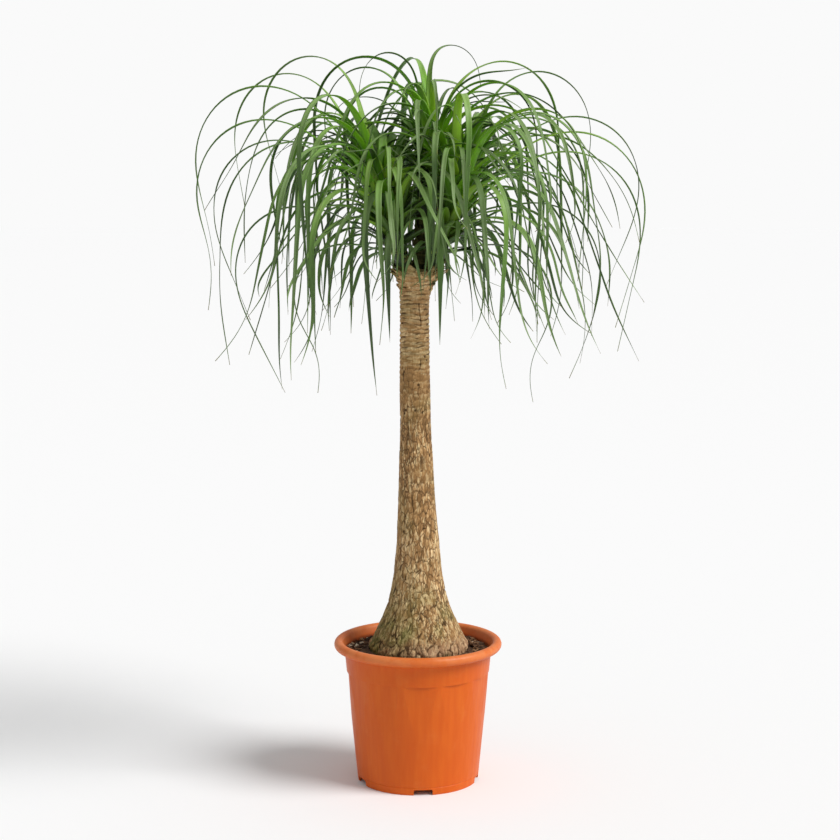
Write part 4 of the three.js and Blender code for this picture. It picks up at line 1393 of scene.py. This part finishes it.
def bladeMesh(blade, look):  # coordinates, faces, uv and numbers of one strap leaf
    count = strap["segments"]
    t = np.linspace(0, 1, count + 1) ** 1.08
    t[-1] = 0.999
    point, side, back = framesAlong(blade, t, 3 * crown["steps"])
    clasp = 0.80 + 0.45 * np.exp(-(t / 0.05) ** 2) + 0.2 * ease(t / 0.1) - 0.12 * ease((t - 0.14) / 0.2)
    clasp += strap["broadFoot"] * np.exp(-(t / 0.2) ** 2)
    half = np.maximum(0.5 * blade["width"] * clasp * np.maximum(0, 1 - t ** 1.25) ** 0.85, 0.22)
    keel = strap["keel"] * (1 - 0.45 * t) * np.minimum(1, half / 3.2)
    keel = keel * (1 + 1.1 * np.exp(-t / 0.06))
    thick = strap["thick"] * (0.45 + 0.55 * np.minimum(1, half / 4))

    across = np.linspace(-1, 1, strap["across"])
    ring = [(u, 1) for u in across] + [(u, -1) for u in across[-2:0:-1]]
    coords = np.zeros((count + 1, len(ring), 3))
    uv = np.zeros((count + 1, len(ring), 2))
    long = t * blade["length"]
    for k, (u, face) in enumerate(ring):
        edge = abs(u)
        deep = keel * (1 - edge ** 1.4)
        swing = np.sin(long / look["wave"] + look["phase"] * 6 + 2.2 * u)
        wave = strap["ripple"] * edge * swing * ease(t * 6)
        skin = 0.5 * thick * (1 - edge ** 4) * face
        away = (deep - keel + 1.2 - skin + wave)[:, None]
        coords[:, k] = point + side * (u * half)[:, None] + back * away
        uv[:, k, 0] = (u + 1) / 2
        uv[:, k, 1] = long * mm
    numbers = np.zeros((count + 1, len(ring), 3))
    numbers[..., 0] = look["tone"]
    numbers[..., 1] = t[:, None]
    numbers[..., 2] = blade["up"]
    faces = tubeFaces(count, len(ring))
    return coords.reshape(-1, 3), faces, uv.reshape(-1, 2), numbers.reshape(-1, 3)


def coreMesh(head):  # the growing point that the leaves clasp
    foot, tip = np.array(head["foot"], float), np.array(head["tip"], float)
    axis = tip - foot
    along = axis / np.linalg.norm(axis)
    right = np.cross(along, (0, 1, 0))
    right /= np.linalg.norm(right)
    front = np.cross(along, right)
    steps, sides = 40, 36
    coords, numbers = [], []
    for j in range(steps + 1):
        share = j / steps
        radius = crown["coreFoot"] + (crown["coreTip"] - crown["coreFoot"]) * share
        for i in range(sides):
            turn = 2 * math.pi * i / sides
            wave = 1 + 0.07 * math.sin(share * 40 + 2 * turn) + 0.05 * math.cos(5 * turn + 9 * share)
            spot = foot + axis * share + radius * wave * (right * math.cos(turn) + front * math.sin(turn))
            coords.append(spot)
            numbers.append((0.0, 0.2, 0.1))
    return np.array(coords), tubeFaces(steps, sides), np.zeros((len(coords), 2)), np.array(numbers)


def leafMaterial():
    # Living strap leaf: waxy skin over fine lengthwise veins, bright and a little see-through when
    # young, bluish green when old, yellow-green to cream at the clasping base, dry at the tip.
    material, tree, shader, place = newMaterial("waxy strap leaf")
    numbers, parts = storedNumbers(tree, "leaf")
    tone, along = parts["Red"], parts["Green"]
    grid = addNode(tree, "ShaderNodeUVMap", {"uv_map": "strap"}).outputs[0]

    old = colourRamp(tree, tone, [(0.0, "#183204"), (0.5, "#33590F"), (1.0, "#5C862A")])
    fresh = colourRamp(tree, tone, [(0.0, "#62A010"), (0.5, "#84C41A"), (1.0, "#AEDC3A")])
    lively = times(tree, remap(tree, parts["Blue"], 0.15, 0.72), remap(tree, along, 0.62, 0.12))
    colour = mixColour(tree, lively, old, fresh)
    # the outer half darkens and greys
    colour = mixColour(tree, remap(tree, along, 0.45, 0.85, 0.0, 0.6), colour, "#2C3822")
    # painted shade deep in the crown: leaves near the axis and below the top are darkened, where little
    # light reaches
    inner = remap(tree, fromAxis(tree, place), 95 * mm, 45 * mm, 0.0, 0.8)
    under = remap(tree, upOf(tree, place), 1010 * mm, 930 * mm)
    colour = mixColour(tree, times(tree, inner, under), colour, "#142206")
    # a painted sky reflection on the waxy skin: paler where the surface faces up
    skyward = upOf(tree, addNode(tree, "ShaderNodeNewGeometry").outputs["Normal"])
    skySheen = times(tree, remap(tree, skyward, -0.35, 0.7, 0.0, 0.42), remap(tree, along, 0.12, 0.34))
    colour = mixColour(tree, skySheen, colour, "#AECB84")
    # cloudy patches, 60 mm long and 5 mm wide, at other places on each leaf
    shift = vectorMath(tree, "MULTIPLY", numbers, (37, 0, 37))[0]
    patches = vectorMath(tree, "ADD", stretched(tree, grid, (2.6, 17.0, 1.0)), shift)[0]
    clouds = noiseOn(tree, patches, Detail=3.0)
    colour = mixColour(tree, remap(tree, clouds, 0.45, 0.75, 0.0, 0.25), colour, "#93AC78")
    # veins: eleven across the blade, about 1.2 mm apart
    bands = addNode(tree, "ShaderNodeTexWave", {"bands_direction": "X", "wave_profile": "SIN"},
                    {"Vector": stretched(tree, grid, (11.0, 0.0, 1.0)), "Scale": 0.3142, "Distortion": 0.0})
    veins = bands.outputs["Fac"]
    colour = mixColour(tree, remap(tree, veins, 0.2, 0.9, 0.0, 0.22), colour, "#2C5216")
    # the foot is shaded and pales where it clasps, the last of the tip dries out
    colour = mixColour(tree, remap(tree, along, 0.13, 0.04, 0.0, 0.4), colour, "#33500F")
    colour = mixColour(tree, remap(tree, along, 0.05, 0.012), colour, "#98A450")
    colour = mixColour(tree, remap(tree, along, 0.965, 0.992, 0.0, 0.8), colour, "#7B6A3A")

    setInputs(tree, shader, {
        "Base Color": colour,
        "Roughness": remap(tree, clouds, 0.3, 0.7, 0.36, 0.5),
        "Normal": bumpOn(tree, veins, 0.25, 0.4 * mm),
        "IOR": 1.45,
        "Subsurface Weight": 0.15,
        "Subsurface Radius": (0.6, 1.0, 0.25),
        "Subsurface Scale": 2 * mm,
        "Specular IOR Level": 0.4,
    })
    return material


young = {  # short inner leaves round each growing point
    "leaves": 28,
    "lift": (46, 86),
    "length": (140, 300),
    "hang": (-66, -6),
    "width": (13, 19),
    "calm": 0.6,  # share of the bends that grown leaves have
    "bends": (0.2, 1.0),
}


def youngBlade(head, index, draw):
    up = 0.45 + 0.55 * ((index + 0.5) / young["leaves"])
    azimuth = head["turn"] + goldenTurn * index + draw(-20, 20)
    blade = {"up": up, "azimuth": azimuth, "root": rootOf(head, up, azimuth)}
    blade["stiff"], blade["limp"] = young["bends"]
    for key in ("lift", "length", "hang", "width"):
        blade[key] = draw(*young[key])
    blade["length"] *= 1.2 - 0.45 * up
    for key in ("drift", "flick", "turn", "twist", "wave"):
        blade[key] = draw(*vary[key]) * young["calm"]
    return blade


def makeHeads():
    skin = leafMaterial()
    draw = draws(crown["seed"] + 5)
    for name, blades in growCrown().items():
        meshes = [coreMesh(heads[name])]
        blades = blades + [youngBlade(heads[name], i, draw) for i in range(young["leaves"])]
        for blade in blades:
            look = {"tone": draw(), "wave": draw(18, 40), "phase": draw()}
            meshes.append(bladeMesh(blade, look))
        coords = np.vstack([m[0] for m in meshes])
        uv = np.vstack([m[2] for m in meshes])
        numbers = np.vstack([m[3] for m in meshes])
        faces, start = [], 0
        for m in meshes:
            faces += [tuple(start + corner for corner in face) for face in m[1]]
            start += len(m[0])
        piece = meshPiece(name + "_leaves", coords * mm, faces)
        layer = piece.data.uv_layers.new(name="strap")
        corners = np.zeros(len(piece.data.loops), int)
        piece.data.loops.foreach_get("vertex_index", corners)
        layer.data.foreach_set("uv", uv[corners].ravel())
        storeColour(piece, "leaf", numbers)
        piece.data.materials.append(skin)
        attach(piece, "root")
        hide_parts(name)
        print(name + ":", len(blades), "leaves,", len(faces), "faces")


makeStem()
makeHeads()
